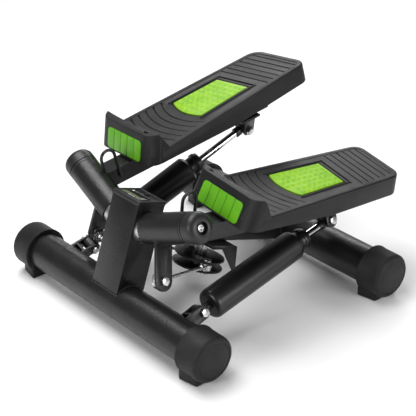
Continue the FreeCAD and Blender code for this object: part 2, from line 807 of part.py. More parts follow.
def cylinder_gland():
    inside = rod(cylinder_bore, V(0, 0, cylinder_end - gland_depth), z_dir, gland_depth)
    neck = rod(gland_radius, V(0, 0, cylinder_end), z_dir, gland_end - cylinder_end)
    lip = rod(gland_lip, V(0, 0, gland_lip_start), z_dir, gland_lip_length)
    bore = rod(rod_radius + running_gap, V(0, 0, cylinder_end - gland_depth - cut_extra), z_dir, gland_end)
    return union([inside, neck, lip]).cut(bore)


def rod_travel(degrees):
    """How far the rod is out of its closed position."""
    return cylinder_length(degrees) - cylinder_length(-half_swing)


def piston_rod(degrees):
    start = piston_place + rod_travel(degrees)
    end = cylinder_length(degrees) - rod_end
    shaft = rod(rod_radius, V(0, 0, start - piston_rod_tip), z_dir, end - start + piston_rod_tip)
    piston = rod(cylinder_bore - running_gap, V(0, 0, start), z_dir, piston_length)
    return shaft.fuse(piston).removeSplitter()


def rod_eye(degrees):
    centre = V(0, 0, cylinder_length(degrees))
    ring = rod(eye_radius, centre - x_dir * (rod_eye_width / 2), x_dir, rod_eye_width)
    neck = rod(neck_radius, centre - z_dir * rod_end, z_dir, rod_end)
    collar = rod(eye_collar_radius, centre - z_dir * collar_start, z_dir, collar_start - collar_end)
    solid = union([ring, neck, collar])
    solid = solid.cut(rod(bolt_radius + open_pivot_gap, centre - x_dir * eye_width, x_dir, 2 * eye_width))
    return solid.cut(rod(rod_radius, V(0, 0, 0), z_dir, cylinder_length(degrees) - rod_end))


def cylinder_bracket():
    """The lower clevis: two ears and a cross plate on the front tube."""
    to_tube = V(0, front_axis.y, front_axis.z) - V(0, low_pivot.y, low_pivot.z)
    back_dir = unit(to_tube - cylinder_hinge * to_tube.dot(cylinder_hinge))
    inner, outer = eye_width / 2 + ear_gap, eye_width / 2 + ear_gap + ear_thickness
    ears = []
    for start in (inner, -outer):
        ear = block((0, to_tube.Length), (-eye_radius, eye_radius), (start, start + ear_thickness))
        ear = ear.fuse(rod(eye_radius, V(0, 0, start), z_dir, ear_thickness))
        hole = rod(bolt_radius, V(0, 0, start - cut_extra), z_dir, ear_thickness + 2 * cut_extra)
        ears.append(ear.cut(hole))
    plate = block((bracket_foot, bracket_foot + ear_thickness), (-eye_radius, eye_radius), (-outer, outer))
    whole = placed(union(ears + [plate]), axes_place(low_pivot, back_dir, cylinder_hinge))
    return whole.cut(tube_space(front_axis, front_tube_length))


# ---- Rocker under the beam and its tie rods ---------------------------------------------
def rocker_frame(degrees):
    return axes_place(rocker_centre, turned(x_dir, post_dir, degrees), post_dir)


def rocker():
    half = rocker_space / 2
    upper = rod(rocker_radius, V(0, 0, half), z_dir, rocker_plate)
    lower = rod(rocker_radius, V(0, 0, -half - rocker_plate), z_dir, rocker_plate)
    hub = rod(rocker_hub_radius, V(0, 0, -half), z_dir, rocker_space)
    solid = union([upper, lower, hub])
    height = half + rocker_plate
    solid = solid.cut(rod(rocker_bolt_radius + running_gap, V(0, 0, -height - cut_extra), z_dir,
                          2 * (height + cut_extra)))
    for x in (rocker_pin_place, -rocker_pin_place):
        solid = solid.cut(rod(bolt_radius, V(x, 0, -height - cut_extra), z_dir, 2 * (height + cut_extra)))
    return placed(solid, rocker_frame(rocker_rest))


def rocker_pins():
    height = rocker_space / 2 + rocker_plate
    pins = []
    for x in (rocker_pin_place, -rocker_pin_place):
        shank = rod(bolt_radius, V(x, 0, -height), z_dir, 2 * height)
        upper = rod(bolt_hex, V(x, 0, height), z_dir, pin_head_height)
        lower = rod(bolt_hex, V(x, 0, -height - pin_head_height), z_dir, pin_head_height)
        pins.append(union([shank, upper, lower]))
    return placed(Part.makeCompound(pins), rocker_frame(rocker_rest))


def bracket_frame():
    """Origin on the beam's lower face over the rocker's pivot; y along the beam."""
    origin = crossing + beam_dir * rocker_along - post_dir * (beam_height / 2)
    return axes_place(origin, x_dir, post_dir)


def rocker_bracket():
    outer = bracket_half + bracket_cheek
    plate = block((-outer, outer), (-bracket_front, bracket_back), (-bracket_plate, 0))
    parts = [plate]
    profile = [V(0, cheek_front, 0), V(0, bracket_back, 0), V(0, cheek_tip + cheek_tip_width, -cheek_depth),
               V(0, cheek_tip, -cheek_depth)]
    face = Part.Face(Part.makePolygon(profile + profile[:1]))
    for x in (bracket_half, -outer):
        cheek = face.extrude(x_dir * bracket_cheek)
        cheek.translate(x_dir * x)
        parts.append(cheek)
    web = block((-outer, outer), (bracket_back - bracket_cheek, bracket_back), (-web_depth, 0))
    parts.append(web)
    hole = rod(rocker_bolt_radius, V(0, 0, -bracket_plate - cut_extra), z_dir, bracket_plate * 2)
    return placed(union(parts).cut(hole), bracket_frame())


def rocker_bolt():
    rocker_top = rocker_drop - beam_height / 2
    stack = rocker_top + 2 * rocker_plate + rocker_space + side_gap
    shank = rod(rocker_bolt_radius, V(0, 0, -stack), z_dir, stack)
    spacer_length = rocker_top - bracket_plate - side_gap
    spacer = rod(rocker_spacer_radius, V(0, 0, -bracket_plate - spacer_length), z_dir, spacer_length)
    nut = hexagon(rocker_nut_hex, V(0, 0, -stack - bolt_head), z_dir, bolt_head)
    return placed(union([shank, spacer, nut]), bracket_frame())


def tie_rod(degrees, rocker_degrees):
    """Rod from the lever's ball to the rocker's pin, with an eye at each end."""
    ball = swung(ball_level, degrees)
    pin = pin_point(rocker_degrees)
    line = unit(pin - ball)
    length = (pin - ball).Length
    ring_axis = unit(sleeve_dir - line * sleeve_dir.dot(line))
    ring = rod(ball_ring_radius, ball - ring_axis * (ball_ring_width / 2), ring_axis, ball_ring_width)
    inside_ring = (ball_radius + ball_gap + ball_ring_radius) / 2
    socket = rod(tie_socket_radius, ball + line * inside_ring, line, tie_socket_length)
    shaft = rod(tie_radius, ball + line * inside_ring, line, length - inside_ring - tie_rear_length / 2)
    rear_socket = rod(tie_rear_radius, ball + line * (length - tie_rear_length), line, tie_rear_length)
    eye = rod(tie_eye_radius, pin - post_dir * (tie_eye_width / 2), post_dir, tie_eye_width)
    solid = union([ring, socket, shaft, rear_socket, eye])
    pin_hole = rod(bolt_radius + tie_eye_gap, pin - post_dir * tie_eye_width, post_dir, 2 * tie_eye_width)
    return solid.cut(Part.makeSphere(ball_radius + ball_gap, ball, ring_axis)).cut(pin_hole)


# ---- Console in the top of the post ---------------------------------------------------------
def console_frame():
    return axes_place(front_axis + post_dir * post_length, x_dir, post_dir)


def lens_block(proud):
    half_x = lens_width / 2
    return block((-half_x, half_x), (lens_shift - lens_length / 2, lens_shift + lens_length / 2),
                 (console_height - lens_thickness, console_height + proud))


def console_housing():
    half_x, half_y = post_width / 2 + console_overhang, post_depth / 2 + console_overhang
    lid = block((-half_x, half_x), (-half_y, half_y), (0, console_height))
    lid = rounded(lid, console_corner, is_upright)
    half_x, half_y = post_width / 2 - post_wall - console_gap, post_depth / 2 - post_wall - console_gap
    plug = block((-half_x, half_x), (-half_y, half_y), (-console_plug, 0))
    solid = lid.fuse(plug).removeSplitter().cut(lens_block(cut_extra))
    well = console_height + button_proud - button_depth - button_travel
    solid = solid.cut(rod(button_radius + button_gap, V(0, button_shift, well), z_dir, console_height * 2))
    return placed(solid, console_frame())


def console_lens():
    return placed(lens_block(0), console_frame())


def mode_button():
    start = console_height + button_proud - button_depth
    return placed(rod(button_radius, V(0, button_shift, start), z_dir, button_depth), console_frame())


def step_sensor():
    width, length, height = sensor_size
    low = -beam_height / 2 - height
    box = block((-width / 2, width / 2), (sensor_place, sensor_place + length), (low, low + height))
    return placed(box, beam_frame)


# ---- Assembly -------------------------------------------------------------------------------
sides = {"right": (1, -half_swing), "left": (-1, half_swing)}


def to_side(shape, side, degrees=0.0):
    """Swings a right-hand shape with its pedal, and mirrors it for the left."""
    moved = shape.copy()
    moved.rotate(crossing, sleeve_dir, degrees)
    return moved if side > 0 else moved.mirror(V(0, 0, 0), x_dir)


def in_plate(shape):
    return placed(shape, plate_place)


def pedal_parts():
    return {
        "sleeve": sleeve(), "sleeve_bushes": sleeve_bushes(), "lever": lever(), "lever_bolt": lever_bolt(),
        "pedal_arm": in_plate(pedal_arm()), "footplate": in_plate(footplate()),
        "footplate_screws": in_plate(footplate_screws()), "tread_insert": in_plate(tread_insert()),
        "toe_insert": in_plate(toe_insert()), "band_loop": in_plate(band_loop()),
        "rod_bracket": rod_bracket(), "upper_pivot_bolt": pivot_bolt(top_level, cylinder_hinge)}


def cylinder_parts(degrees):
    frame = cylinder_frame(degrees)
    return {
        "cylinder_tube": placed(cylinder_tube(), frame), "cylinder_gland": placed(cylinder_gland(), frame),
        "piston_rod": placed(piston_rod(degrees), frame), "rod_eye": placed(rod_eye(degrees), frame)}


def build():
    nodes = {
        "front_tube": cross_tube(front_axis, front_tube_length),
        "rear_tube": cross_tube(rear_axis, rear_tube_length),
        "upright_post": upright_post(), "central_beam": central_beam(), "step_sensor": step_sensor(),
        "console_housing": console_housing(), "console_lens": console_lens(), "mode_button": mode_button(),
        "rocker": rocker(), "rocker_pins": rocker_pins(),
        "rocker_bracket": rocker_bracket(), "rocker_bolt": rocker_bolt()}
    level = pedal_parts()
    cap_screws, low_bolts = [], []
    for name, (side, degrees) in sides.items():
        nodes["front_" + name + "_foot"] = foot(front_axis, front_tube_length, side)
        nodes["rear_" + name + "_foot"] = foot(rear_axis, rear_tube_length, side)
        nodes[name + "_axle"] = to_side(axle(), side)
        nodes[name + "_end_cap"] = to_side(end_cap(), side)
        nodes[name + "_cylinder_bracket"] = to_side(cylinder_bracket(), side)
        cap_screws.append(to_side(cap_screw(), side))
        low_bolts.append(to_side(pivot_bolt(low_pivot, cylinder_hinge), side))
        for part, shape in level.items():
            nodes[name + "_" + part] = to_side(shape, side, degrees)
        for part, shape in cylinder_parts(degrees).items():
            nodes[name + "_" + part] = to_side(shape, side)
        nodes[name + "_tie_rod"] = to_side(tie_rod(degrees, rocker_rest * side), side)
    nodes["cap_screws"] = Part.makeCompound(cap_screws)
    nodes["lower_pivot_bolts"] = Part.makeCompound(low_bolts)
    return nodes


def main():
    os.makedirs("parts", exist_ok=True)
    for name, shape in build().items():
        shape.exportStep(os.path.join("parts", name + ".step"))


if __name__ == "__main__":
    main()
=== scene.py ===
import json
import math
import bmesh
import bpy
from mathutils import Matrix, Vector

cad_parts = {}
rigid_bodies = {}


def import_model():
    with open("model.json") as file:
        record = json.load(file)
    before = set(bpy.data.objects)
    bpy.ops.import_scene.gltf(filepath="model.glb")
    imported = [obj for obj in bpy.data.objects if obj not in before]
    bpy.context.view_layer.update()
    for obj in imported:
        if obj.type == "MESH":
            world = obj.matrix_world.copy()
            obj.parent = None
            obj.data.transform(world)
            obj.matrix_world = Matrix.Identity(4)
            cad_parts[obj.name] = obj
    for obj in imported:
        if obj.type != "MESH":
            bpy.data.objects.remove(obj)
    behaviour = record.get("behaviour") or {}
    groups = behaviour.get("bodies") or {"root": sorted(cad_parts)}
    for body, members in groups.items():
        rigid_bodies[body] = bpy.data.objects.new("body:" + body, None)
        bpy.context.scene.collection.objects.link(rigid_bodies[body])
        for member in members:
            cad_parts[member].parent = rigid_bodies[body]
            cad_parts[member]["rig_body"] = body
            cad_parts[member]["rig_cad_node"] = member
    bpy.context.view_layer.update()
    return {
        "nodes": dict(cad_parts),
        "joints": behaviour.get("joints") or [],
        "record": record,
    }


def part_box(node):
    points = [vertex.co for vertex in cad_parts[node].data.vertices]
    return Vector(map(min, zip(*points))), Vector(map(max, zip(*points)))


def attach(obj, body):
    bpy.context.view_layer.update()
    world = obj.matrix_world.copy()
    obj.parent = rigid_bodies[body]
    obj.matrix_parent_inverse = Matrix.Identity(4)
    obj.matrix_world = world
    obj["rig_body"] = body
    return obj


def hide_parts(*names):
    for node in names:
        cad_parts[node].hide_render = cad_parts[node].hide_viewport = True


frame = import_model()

joints = {joint["name"]: joint for joint in frame["joints"]}
xAxis, zAxis = Vector((1, 0, 0)), Vector((0, 0, 1))
nearEnough = 1e-5  # how close counts as lying on a plane
cutRoom = 0.01  # how far a cutting block stands past the face it cuts


# working helpers: one object at a time, edited the way it is done by hand
def focus(piece):
    if bpy.context.mode != "OBJECT":
        bpy.ops.object.mode_set(mode="OBJECT")
    bpy.ops.object.select_all(action="DESELECT")
    piece.select_set(True)
    bpy.context.view_layer.objects.active = piece


def editStart(piece):
    focus(piece)
    bpy.ops.object.mode_set(mode="EDIT")


def editEnd():
    bpy.ops.object.mode_set(mode="OBJECT")


def pick(kind, test):
    # selects the faces, edges or vertices of the edited mesh that pass the test
    mesh = bmesh.from_edit_mesh(bpy.context.object.data)
    bpy.ops.mesh.select_mode(type=kind)
    bpy.ops.mesh.select_all(action="DESELECT")
    for item in {"FACE": mesh.faces, "EDGE": mesh.edges, "VERT": mesh.verts}[kind]:
        item.select_set(bool(test(item)))
    mesh.select_flush_mode()
    bmesh.update_edit_mesh(bpy.context.object.data)


def middle(edge):
    return (edge.verts[0].co + edge.verts[1].co) / 2


def upright(edge):
    along = edge.verts[1].co - edge.verts[0].co
    return abs(along.z) > 0.9 * along.length


def addBlock(name, low, high):
    centre = [(a + b) / 2 for a, b in zip(low, high)]
    size = [b - a for a, b in zip(low, high)]
    bpy.ops.object.select_all(action="DESELECT")
    bpy.ops.mesh.primitive_cube_add(size=1, location=centre, scale=size)
    piece = bpy.context.object
    piece.name = name
    bpy.ops.object.transform_apply(location=True, rotation=True, scale=True)
    return piece


def addRound(name, radius, low, high, segments=64):
    bpy.ops.object.select_all(action="DESELECT")
    bpy.ops.mesh.primitive_cylinder_add(vertices=segments, radius=radius, depth=high - low,
                                        location=(0, 0, (low + high) / 2))
    piece = bpy.context.object
    piece.name = name
    bpy.ops.object.transform_apply(location=True, rotation=True, scale=True)
    return piece


def turnedPiece(name, rings, segments=64):
    # extrudes a circle from ring to ring, each given as (radius, height)
    bpy.ops.object.select_all(action="DESELECT")
    bpy.ops.mesh.primitive_circle_add(vertices=segments, radius=rings[0][0], fill_type="NGON",
                                      location=(0, 0, rings[0][1]))
    piece = bpy.context.object
    piece.name = name
    bpy.ops.object.transform_apply(location=True, rotation=True, scale=True)
    editStart(piece)
    bpy.ops.mesh.select_all(action="SELECT")
    for (radiusA, heightA), (radiusB, heightB) in zip(rings, rings[1:]):
        bpy.ops.mesh.extrude_region_move(TRANSFORM_OT_translate={"value": (0, 0, heightB - heightA)})
        if radiusB != radiusA:
            bpy.ops.transform.resize(value=(radiusB / radiusA, radiusB / radiusA, 1),
                                     center_override=(0, 0, heightB))
    bpy.ops.mesh.select_all(action="SELECT")
    bpy.ops.mesh.normals_make_consistent(inside=False)
    editEnd()
    return piece


def cut(piece, tool, kind="DIFFERENCE"):
    focus(piece)
    change = piece.modifiers.new("cut", "BOOLEAN")
    change.operation = kind
    change.solver = "EXACT"
    change.object = tool
    bpy.ops.object.modifier_apply(modifier=change.name)
    bpy.data.objects.remove(tool)
    return piece


def joined(pieces, name):
    bpy.ops.object.select_all(action="DESELECT")
    for piece in pieces:
        piece.select_set(True)
    bpy.context.view_layer.objects.active = pieces[0]
    bpy.ops.object.join()
    pieces[0].name = name
    return pieces[0]


def copied(piece, name):
    twin = piece.copy()
    twin.data = piece.data.copy()
    twin.name = name
    bpy.context.scene.collection.objects.link(twin)
    return twin


def roundEdges(piece, width, segments=2, angle=34):
    focus(piece)
    change = piece.modifiers.new("edges", "BEVEL")
    change.width = width
    change.segments = segments
    change.limit_method = "ANGLE"
    change.angle_limit = math.radians(angle)
    change.miter_outer = "MITER_ARC"
    bpy.ops.object.modifier_apply(modifier=change.name)
    return piece


def smooth(piece, angle=35):
    focus(piece)
    bpy.ops.object.shade_smooth_by_angle(angle=math.radians(angle))
    return piece


def seat(piece, place):
    # moves the mesh itself, so the object stays at the origin, and keeps its faces pointing out
    piece.data.transform(place)
    if place.determinant() < 0:
        piece.data.flip_normals()
    piece.data.update()
    return piece


def fit(piece, body, finish, nodes=()):
    piece.data.materials.clear()
    piece.data.materials.append(finish)
    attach(piece, body)
    if nodes:
        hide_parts(*nodes)
    return piece


# places that follow from the joints
crossing = Vector(joints["right_pedal"]["pos_m"])
sleeveDir = Vector(joints["right_pedal"]["axis"]).normalized()
postDir = -Vector(joints["mode_button"]["axis"]).normalized()
beamDir = postDir.cross(xAxis)
halfSwing = math.radians(joints["right_pedal"]["range_deg"][1]) / 2
mirror = Matrix.Diagonal((-1, 1, 1, 1))
sides = {"right": (Matrix.Identity(4), -halfSwing), "left": (mirror, halfSwing)}

pedalValues = {"offset": (0.1063, 0.2457, 0.0846), "tilt": 4.4, "roll": 3.4}


def swingPlace(side):
    hand, swing = sides[side]
    about = Matrix.Translation(crossing) @ Matrix.Rotation(swing, 4, sleeveDir)
    return hand @ about @ Matrix.Translation(-crossing)


def levelPlace():
    # the right footplate's own frame with both pedals level: tread at z 0, toe towards -y
    turn = Matrix.Rotation(math.radians(pedalValues["tilt"]), 4, "X")
    turn = turn @ Matrix.Rotation(math.radians(pedalValues["roll"]), 4, "Y")
    return Matrix.Translation(crossing + Vector(pedalValues["offset"])) @ turn


def pedalPlace(side):
    return swingPlace(side) @ levelPlace()


def axesPlace(origin, xAxis, zAxisWanted):
    across = zAxisWanted.cross(xAxis).normalized()
    turn = Matrix((across.cross(zAxisWanted), across, zAxisWanted)).transposed().to_4x4()
    return Matrix.Translation(origin) @ turn


def sleevePlace(side, station):
    hand, _ = sides[side]
    across = sleeveDir.cross(zAxis).normalized()
    return hand @ axesPlace(crossing + sleeveDir * station, across, sleeveDir)


print("stage: camera, floor and lights")
cameraValues = {"place": (1.3067, -1.1534, 1.0396), "aim": (-0.667, 0.5817, -0.4655), "lens": 108.1,
                "sensor": 36}
cameraData = bpy.data.cameras.new("camera")
cameraData.lens = cameraValues["lens"]
cameraData.sensor_width = cameraValues["sensor"]
camera = bpy.data.objects.new("camera", cameraData)
bpy.context.scene.collection.objects.link(camera)
camera.location = cameraValues["place"]
camera.rotation_mode = "QUATERNION"
camera.rotation_quaternion = Vector(cameraValues["aim"]).to_track_quat("-Z", "Y")
bpy.context.scene.camera = camera

studioValues = {
    "floorSize": 12, "floorColour": (0.93, 0.93, 0.93, 1), "floorRoughness": 0.65,
    "worldColour": (1, 1, 1, 1), "worldStrength": 0.26, "lightTarget": (0, 0, 0.12),
    "lights": {
        "top": {"place": (-0.5, -0.3, 1.9), "size": (1.5, 1.1), "power": 36},
        "front": {"place": (0.25, -2.0, 0.9), "size": (0.7, 0.5), "power": 14},
        "right": {"place": (2.0, 0.35, 0.75), "size": (0.8, 0.5), "power": 18},
        "behind": {"place": (-1.3, 1.5, 1.2), "size": (1.2, 0.5), "power": 14},
    },
}


def addFloor():
    bpy.ops.object.select_all(action="DESELECT")
    bpy.ops.mesh.primitive_plane_add(size=studioValues["floorSize"])
    floor = bpy.context.object
    floor.name = "floor"
    material = bpy.data.materials.new("paleFloor")
    material.use_nodes = True
    shader = material.node_tree.nodes["Principled BSDF"]
    shader.inputs["Base Color"].default_value = studioValues["floorColour"]
    shader.inputs["Roughness"].default_value = studioValues["floorRoughness"]
    floor.data.materials.append(material)


def addLights():
    target = Vector(studioValues["lightTarget"])
    for name, values in studioValues["lights"].items():
        data = bpy.data.lights.new(name + "Light", "AREA")
        data.shape = "RECTANGLE"
        data.size, data.size_y = values["size"]
        data.energy = values["power"]
        lamp = bpy.data.objects.new(name + "Light", data)
        bpy.context.scene.collection.objects.link(lamp)
        lamp.location = values["place"]
        lamp.rotation_mode = "QUATERNION"
        lamp.rotation_quaternion = (target - lamp.location).to_track_quat("-Z", "Y")
    world = bpy.data.worlds.new("studio")
    world.use_nodes = True
    sky = world.node_tree.nodes["Background"]
    sky.inputs["Color"].default_value = studioValues["worldColour"]
    sky.inputs["Strength"].default_value = studioValues["worldStrength"]
    bpy.context.scene.world = world


addFloor()
addLights()
bpy.context.scene.view_settings.view_transform = "Standard"

print("stage: finishes")


# finishes: colour patches, roughness patches and a fine surface grain, all on Object coordinates
def startFinish(name):
    material = bpy.data.materials.new(name)
    material.use_nodes = True
    tree = material.node_tree
    place = tree.nodes.new("ShaderNodeTexCoord").outputs["Object"]
    return material, tree, tree.nodes["Principled BSDF"], place


def noiseNode(tree, place, scale, detail=3.0):
    node = tree.nodes.new("ShaderNodeTexNoise")
    node.inputs["Scale"].default_value = scale
    node.inputs["Detail"].default_value = detail
    tree.links.new(place, node.inputs["Vector"])
    return node.outputs["Fac"]


def spread(tree, value, low, high, fromLow=0.3, fromHigh=0.7):
    node = tree.nodes.new("ShaderNodeMapRange")
    node.inputs["From Min"].default_value = fromLow
    node.inputs["From Max"].default_value = fromHigh
    node.inputs["To Min"].default_value = low
    node.inputs["To Max"].default_value = high
    tree.links.new(value, node.inputs["Value"])
    return node.outputs["Result"]


def colourBetween(tree, value, dark, light):
    node = tree.nodes.new("ShaderNodeMix")
    node.data_type = "RGBA"
    node.inputs["A"].default_value = (*dark, 1)
    node.inputs["B"].default_value = (*light, 1)
    tree.links.new(value, node.inputs["Factor"])
    return node.outputs["Result"]


def addBump(tree, shader, height, distance, under=None):
    node = tree.nodes.new("ShaderNodeBump")
    node.inputs["Distance"].default_value = distance
    node.inputs["Strength"].default_value = 1
    tree.links.new(height, node.inputs["Height"])
    if under is not None:
        tree.links.new(under, node.inputs["Normal"])
    tree.links.new(node.outputs["Normal"], shader.inputs["Normal"])
    return node.outputs["Normal"]


grainValues = {"shineScale": 2.3, "shineDetail": 4, "grainDetail": 2, "waveDetail": 1}


def grainyFinish(name, look):
    v = grainValues
    material, tree, shader, place = startFinish(name)
    patches = noiseNode(tree, place, look["patchScale"])
    tone = spread(tree, patches, 0, 1)
    tree.links.new(colourBetween(tree, tone, look["dark"], look["light"]), shader.inputs["Base Color"])
    shine = noiseNode(tree, place, look["patchScale"] * v["shineScale"], v["shineDetail"])
    tree.links.new(spread(tree, shine, *look["roughness"]), shader.inputs["Roughness"])
    grain = noiseNode(tree, place, look["grainScale"], v["grainDetail"])
    fine = addBump(tree, shader, grain, look["grainHeight"])
    if "waveHeight" in look:
        broad = noiseNode(tree, place, look["waveScale"], v["waveDetail"])
        addBump(tree, shader, broad, look["waveHeight"], fine)
    shader.inputs["Metallic"].default_value = look.get("metallic", 0)
    shader.inputs["Coat Weight"].default_value = look.get("coat", 0)
    shader.inputs["Coat Roughness"].default_value = look.get("coatRoughness", 0.2)
    shader.inputs["Specular IOR Level"].default_value = look.get("specular", 0.5)
    return material


looks = {
    "powderCoat": {"dark": (0.0045, 0.0045, 0.005), "light": (0.008, 0.008, 0.0085), "patchScale": 18,
                   "roughness": (0.30, 0.40), "grainScale": 900, "grainHeight": 0.00012,
                   "waveScale": 260, "waveHeight": 0.0003, "specular": 0.45},
    "cylinderPaint": {"dark": (0.004, 0.004, 0.0045), "light": (0.007, 0.007, 0.0075), "patchScale": 14,
                      "roughness": (0.32, 0.38), "grainScale": 1400, "grainHeight": 0.00006,
                      "waveScale": 300, "waveHeight": 0.00012, "specular": 0.55},
    "footRubber": {"dark": (0.006, 0.006, 0.0065), "light": (0.010, 0.010, 0.0105), "patchScale": 25,
                   "roughness": (0.50, 0.62), "grainScale": 1300, "grainHeight": 0.00025, "specular": 0.3},
    "capPlastic": {"dark": (0.006, 0.006, 0.0065), "light": (0.010, 0.010, 0.0105), "patchScale": 30,
                   "roughness": (0.36, 0.46), "grainScale": 1500, "grainHeight": 0.00012},
    "platePlastic": {"dark": (0.007, 0.007, 0.0075), "light": (0.012, 0.012, 0.0125), "patchScale": 12,
                     "roughness": (0.38, 0.48), "grainScale": 1700, "grainHeight": 0.0003, "specular": 0.28},
    "limeRubber": {"dark": (0.17, 0.40, 0.001), "light": (0.25, 0.50, 0.002), "patchScale": 60,
                   "roughness": (0.42, 0.55), "grainScale": 1500, "grainHeight": 0.00015},
    "limePlastic": {"dark": (0.085, 0.33, 0.002), "light": (0.12, 0.40, 0.003), "patchScale": 40,
                    "roughness": (0.38, 0.48), "grainScale": 1700, "grainHeight": 0.00012},
    "nylon": {"dark": (0.62, 0.60, 0.54), "light": (0.70, 0.68, 0.62), "patchScale": 60,
              "roughness": (0.35, 0.45), "grainScale": 900, "grainHeight": 0.00008},
    "zincPlate": {"dark": (0.52, 0.53, 0.54), "light": (0.68, 0.68, 0.67), "patchScale": 140,
                  "roughness": (0.20, 0.36), "grainScale": 1200, "grainHeight": 0.00005, "metallic": 1},
    "turnedSteel": {"dark": (0.42, 0.42, 0.42), "light": (0.52, 0.52, 0.51), "patchScale": 90,
                    "roughness": (0.25, 0.38), "grainScale": 1600, "grainHeight": 0.00006, "metallic": 1},
}
finishes = {name: grainyFinish(name, look) for name, look in looks.items()}


chromeValues = {"dark": (0.66, 0.67, 0.69), "light": (0.80, 0.81, 0.83), "markScale": 240, "markDetail": 4,
                "roughness": (0.05, 0.13), "grainScale": 700, "grainDetail": 2, "grainHeight": 0.00001}


def chromeFinish():
    # hard chrome with the faint marks that a seal leaves round a rod
    v = chromeValues
    material, tree, shader, place = startFinish("hardChrome")
    shader.inputs["Metallic"].default_value = 1
    marks = noiseNode(tree, place, v["markScale"], v["markDetail"])
    tone = spread(tree, marks, 0, 1)
    tree.links.new(colourBetween(tree, tone, v["dark"], v["light"]), shader.inputs["Base Color"])
    tree.links.new(spread(tree, marks, *v["roughness"]), shader.inputs["Roughness"])
    addBump(tree, shader, noiseNode(tree, place, v["grainScale"], v["grainDetail"]), v["grainHeight"])
    return material


displayValues = {"backing": (0.012, 0.013, 0.014), "dark": (0.16, 0.19, 0.11), "light": (0.22, 0.25, 0.15),
                 "stripEnd": (0.42, 0.5), "rowScale": 500, "rowDetail": 1, "roughness": (0.08, 0.16),
                 "coat": 0.6, "coatRoughness": 0.04}


def displayFinish():
    # a grey-green liquid crystal strip under a clear window, darker towards the rear
    v = displayValues
    material, tree, shader, place = startFinish("display")
    low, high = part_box("console_lens")
    stripEnd = [low.y + (high.y - low.y) * share for share in v["stripEnd"]]
    split = tree.nodes.new("ShaderNodeSeparateXYZ")
    tree.links.new(place, split.inputs["Vector"])
    depth = spread(tree, split.outputs["Y"], 1, 0, *stripEnd)
    rows = noiseNode(tree, place, v["rowScale"], v["rowDetail"])
    strip = colourBetween(tree, rows, v["dark"], v["light"])
    mix = tree.nodes.new("ShaderNodeMix")
    mix.data_type = "RGBA"
    mix.inputs["A"].default_value = (*v["backing"], 1)
    tree.links.new(strip, mix.inputs["B"])
    tree.links.new(depth, mix.inputs["Factor"])
    tree.links.new(mix.outputs["Result"], shader.inputs["Base Color"])
    tree.links.new(spread(tree, rows, *v["roughness"]), shader.inputs["Roughness"])
    shader.inputs["Coat Weight"].default_value = v["coat"]
    shader.inputs["Coat Roughness"].default_value = v["coatRoughness"]
    return material


finishes["hardChrome"] = chromeFinish()
finishes["display"] = displayFinish()
slotFinish = {
    "black_steel": "powderCoat", "foot_rubber": "footRubber", "black_plastic": "capPlastic",
    "footplate_plastic": "platePlastic", "tread_green": "limeRubber", "toe_green": "limePlastic",
    "bush_plastic": "nylon", "bare_steel": "turnedSteel", "zinc": "zincPlate", "chrome": "hardChrome",
    "display": "display"}
slotOf = {part["node"]: part["material_slot"] for part in frame["record"]["subparts"]}
for node, thing in frame["nodes"].items():
    thing.data.materials.clear()
    thing.data.materials.append(finishes[slotFinish[slotOf[node]]])
for side in sides:
    for node in (side + "_cylinder_tube", side + "_cylinder_gland"):
        frame["nodes"][node].data.materials[0] = finishes["cylinderPaint"]

print("stage: metal parts with eased edges")
easedEdges = {
    0.0035: ("upright_post",),
    0.0028: ("central_beam", "{side}_pedal_arm"),
    0.0008: ("{side}_lever", "{side}_rod_bracket", "{side}_cylinder_bracket", "rocker_bracket", "rocker"),
    0.0005: ("{side}_lever_bolt", "{side}_upper_pivot_bolt", "lower_pivot_bolts", "cap_screws", "rocker_bolt",
             "rocker_pins", "{side}_rod_eye", "{side}_tie_rod", "{side}_cylinder_gland", "step_sensor",
             "{side}_footplate_screws"),
}
easedValues = {"merge": 0.00001, "flatWithin": 1.0, "broadOver": 0.001}


def eased(node, width):
    # a merged copy of a CAD piece with its sharp edges rounded off
    source = frame["nodes"][node]
    piece = copied(source, node + "_eased")
    body = source["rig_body"]
    finish = source.data.materials[0]
    piece.parent = None
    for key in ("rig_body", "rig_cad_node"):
        del piece[key]
    editStart(piece)
    bpy.ops.mesh.select_all(action="SELECT")
    bpy.ops.mesh.remove_doubles(threshold=easedValues["merge"])
    bpy.ops.mesh.dissolve_limited(angle_limit=math.radians(easedValues["flatWithin"]))
    editEnd()
    roundEdges(piece, width, 3 if width > easedValues["broadOver"] else 2)
    smooth(piece)
    return fit(piece, body, finish, [node])


for width, names in easedEdges.items():
    for name in names:
        for node in sorted({name.format(side=side) for side in sides}):
            eased(node, width)

print("stage: footplates")
plateValues = {
    "front": 0.1725, "back": 0.153, "halfFront": 0.074, "halfBack": 0.058, "depth": 0.032, "nose": 0.017,
    "frontLean": 21.0, "skew": 8.0, "frontCorner": 0.024, "backCorner": 0.020, "blankAhead": 0.04,
    "blankBehind": 0.03, "topEdge": 0.003, "border": 0.0085, "fieldStep": 0.0008, "fieldDrop": 0.0007,
    "wall": 0.0035, "deck": 0.007, "cavityReach": 1.2, "edgeSoftness": 0.0003}
skewSlope = math.tan(math.radians(plateValues["skew"]))
skewTurn = Matrix.Rotation(math.radians(-plateValues["skew"]), 4, "Z")


def halfWidthAt(y):
    plate = plateValues
    share = (y + plate["front"]) / (plate["front"] + plate["back"])
    return plate["halfFront"] + (plate["halfBack"] - plate["halfFront"]) * share


def skirtDepthAt(y):
    plate = plateValues
    share = min(1, max(0, -y / plate["front"]))
    return plate["depth"] + (plate["nose"] - plate["depth"]) * share


